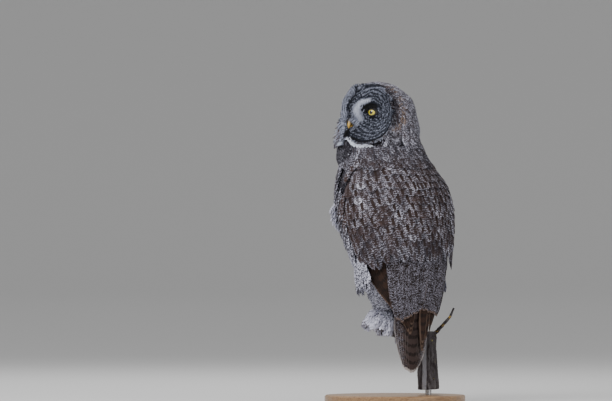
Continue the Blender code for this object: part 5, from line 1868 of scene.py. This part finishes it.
class OwlPlumage(bpy.types.PropertyGroup):
    """Sizes of the body's feathers."""

    coat_depth: length("Coat depth", "How far the skin lies inside the feathers", 0.007)
    skin_grain: length("Skin grain", "Size of the skin's faces", 0.003)
    mantle_step: length("Mantle rows", "Distance between rows of mantle feathers", 0.0160)
    mantle_width: length("Mantle width", "Half the width of a mantle feather", 0.0125)
    mantle_length: length("Mantle length", "Length of a mantle feather", 0.044)
    head_feathers: amount("Head feathers", "Feathers laid round the head", 5200)
    face_step: length("Face rings", "Distance between rings of the facial disc", 0.0027)
    lid_width: length("Eye width", "Half the width of the eye's opening", 0.0088)
    lid_height: length("Eye height", "Half the height of the eye's opening", 0.0061)


class OwlFlight(bpy.types.PropertyGroup):
    """Numbers of flight feathers."""

    secondaries: amount("Secondaries", "Secondaries of one wing", 9)
    primaries: amount("Primaries", "Primaries of one wing", 8)
    flight_tilt: length("Tilt", "How far one edge of a secondary stands over the next", 0.0012)


class OwlPerch(bpy.types.PropertyGroup):
    """The limb."""

    bark_depth: length("Bark depth", "How rough the bark is", 0.0032)
    # Where the painted highlight strip runs on the trunk, across the picture
    strip_place: length("Painted highlight strip", "Where the painted highlight strip runs, across the picture", 0.0660)


class OwlStage(bpy.types.PropertyGroup):
    """Floor, lights and camera."""

    floor_reach: length("Floor", "Radius of the flat floor", 18.0)
    floor_colour: colour("Floor colour", "Pale floor", (0.62, 0.62, 0.62))
    world_light: FloatProperty(name="World light", description="Strength of the even light", default=0.55)
    key_light: power("Key light", "Power of the main light", 95.0)
    fill_light: power("Fill light", "Power of the side light", 30.0)
    back_light: power("Back light", "Power of the light behind", 45.0)
    lens: FloatProperty(name="Lens", description="Focal length in millimetres", default=400.0)
    camera_distance: length("Camera distance", "From the camera to the model's middle", 15.44)


# Operators

def run(context, settings, *builders):
    """Runs builders in order with the look's colours and one group of settings."""
    for build in builders:
        build(context.scene.owl_look, settings)
    return {"FINISHED"}


class OWL_OT_skin(bpy.types.Operator):
    """Build the skin under the feathers"""

    bl_idname = "owl.skin"
    bl_label = "Skin"

    def execute(self, context):
        return run(context, context.scene.owl_plumage, build_skin)


class OWL_OT_body_coat(bpy.types.Operator):
    """Lay the body feathers: mantle, wing coverts, neck, breast and legs"""

    bl_idname = "owl.body_coat"
    bl_label = "Body feathers"

    def execute(self, context):
        return run(context, context.scene.owl_plumage, build_mantle, build_neck, build_breast, build_legs)


class OWL_OT_head_coat(bpy.types.Operator):
    """Lay the feathers of the crown, the facial disc and the bristles"""

    bl_idname = "owl.head_coat"
    bl_label = "Head feathers"

    def execute(self, context):
        return run(context, context.scene.owl_plumage, build_crown, build_face, build_whiskers)


class OWL_OT_flight(bpy.types.Operator):
    """Lay the flight feathers of wings and tail"""

    bl_idname = "owl.flight"
    bl_label = "Flight feathers"

    def execute(self, context):
        return run(context, context.scene.owl_flight, build_secondaries, build_primaries, build_tail)


class OWL_OT_features(bpy.types.Operator):
    """Build eyes, lids, bill and claws"""

    bl_idname = "owl.features"
    bl_label = "Eyes, bill and claws"

    def execute(self, context):
        return run(context, context.scene.owl_plumage, build_eyes, build_lids, build_bill, build_claws)


class OWL_OT_perch(bpy.types.Operator):
    """Build the limb and finish the stand"""

    bl_idname = "owl.perch"
    bl_label = "Perch and stand"

    def execute(self, context):
        return run(context, context.scene.owl_perch, build_perch, build_stand)


class OWL_OT_stage(bpy.types.Operator):
    """Build the floor, the lights and the camera"""

    bl_idname = "owl.stage"
    bl_label = "Stage"

    def execute(self, context):
        return run(context, context.scene.owl_stage, build_stage)


GROUPS = (
    ("owl_look", OwlLook), ("owl_plumage", OwlPlumage), ("owl_flight", OwlFlight), ("owl_perch", OwlPerch),
    ("owl_stage", OwlStage),
)
OPERATORS = (
    OWL_OT_skin, OWL_OT_body_coat, OWL_OT_head_coat, OWL_OT_flight, OWL_OT_features, OWL_OT_perch,
    OWL_OT_stage,
)


class OWL_PT_panel(bpy.types.Panel):
    """Lists the steps and their settings"""

    bl_label = "Owl"
    bl_idname = "OWL_PT_panel"
    bl_space_type = "VIEW_3D"
    bl_region_type = "UI"
    bl_category = "Owl"

    def draw(self, context):
        for operator in OPERATORS:
            self.layout.operator(operator.bl_idname)
        for name, group in GROUPS:
            box = self.layout.box()
            settings = getattr(context.scene, name)
            for field in group.bl_rna.properties:
                if field.identifier in group.__annotations__:
                    box.prop(settings, field.identifier)


def register():
    for name, group in GROUPS:
        bpy.utils.register_class(group)
        setattr(bpy.types.Scene, name, PointerProperty(type=group))
    for operator in OPERATORS:
        bpy.utils.register_class(operator)
    bpy.utils.register_class(OWL_PT_panel)


def unregister():
    bpy.utils.unregister_class(OWL_PT_panel)
    for operator in reversed(OPERATORS):
        bpy.utils.unregister_class(operator)
    for name, group in reversed(GROUPS):
        delattr(bpy.types.Scene, name)
        bpy.utils.unregister_class(group)


def main():
    """Builds every piece in order."""
    register()
    bpy.ops.owl.skin()
    bpy.ops.owl.body_coat()
    bpy.ops.owl.head_coat()
    bpy.ops.owl.flight()
    bpy.ops.owl.features()
    bpy.ops.owl.perch()
    bpy.ops.owl.stage()


if __name__ == "__main__":
    main()
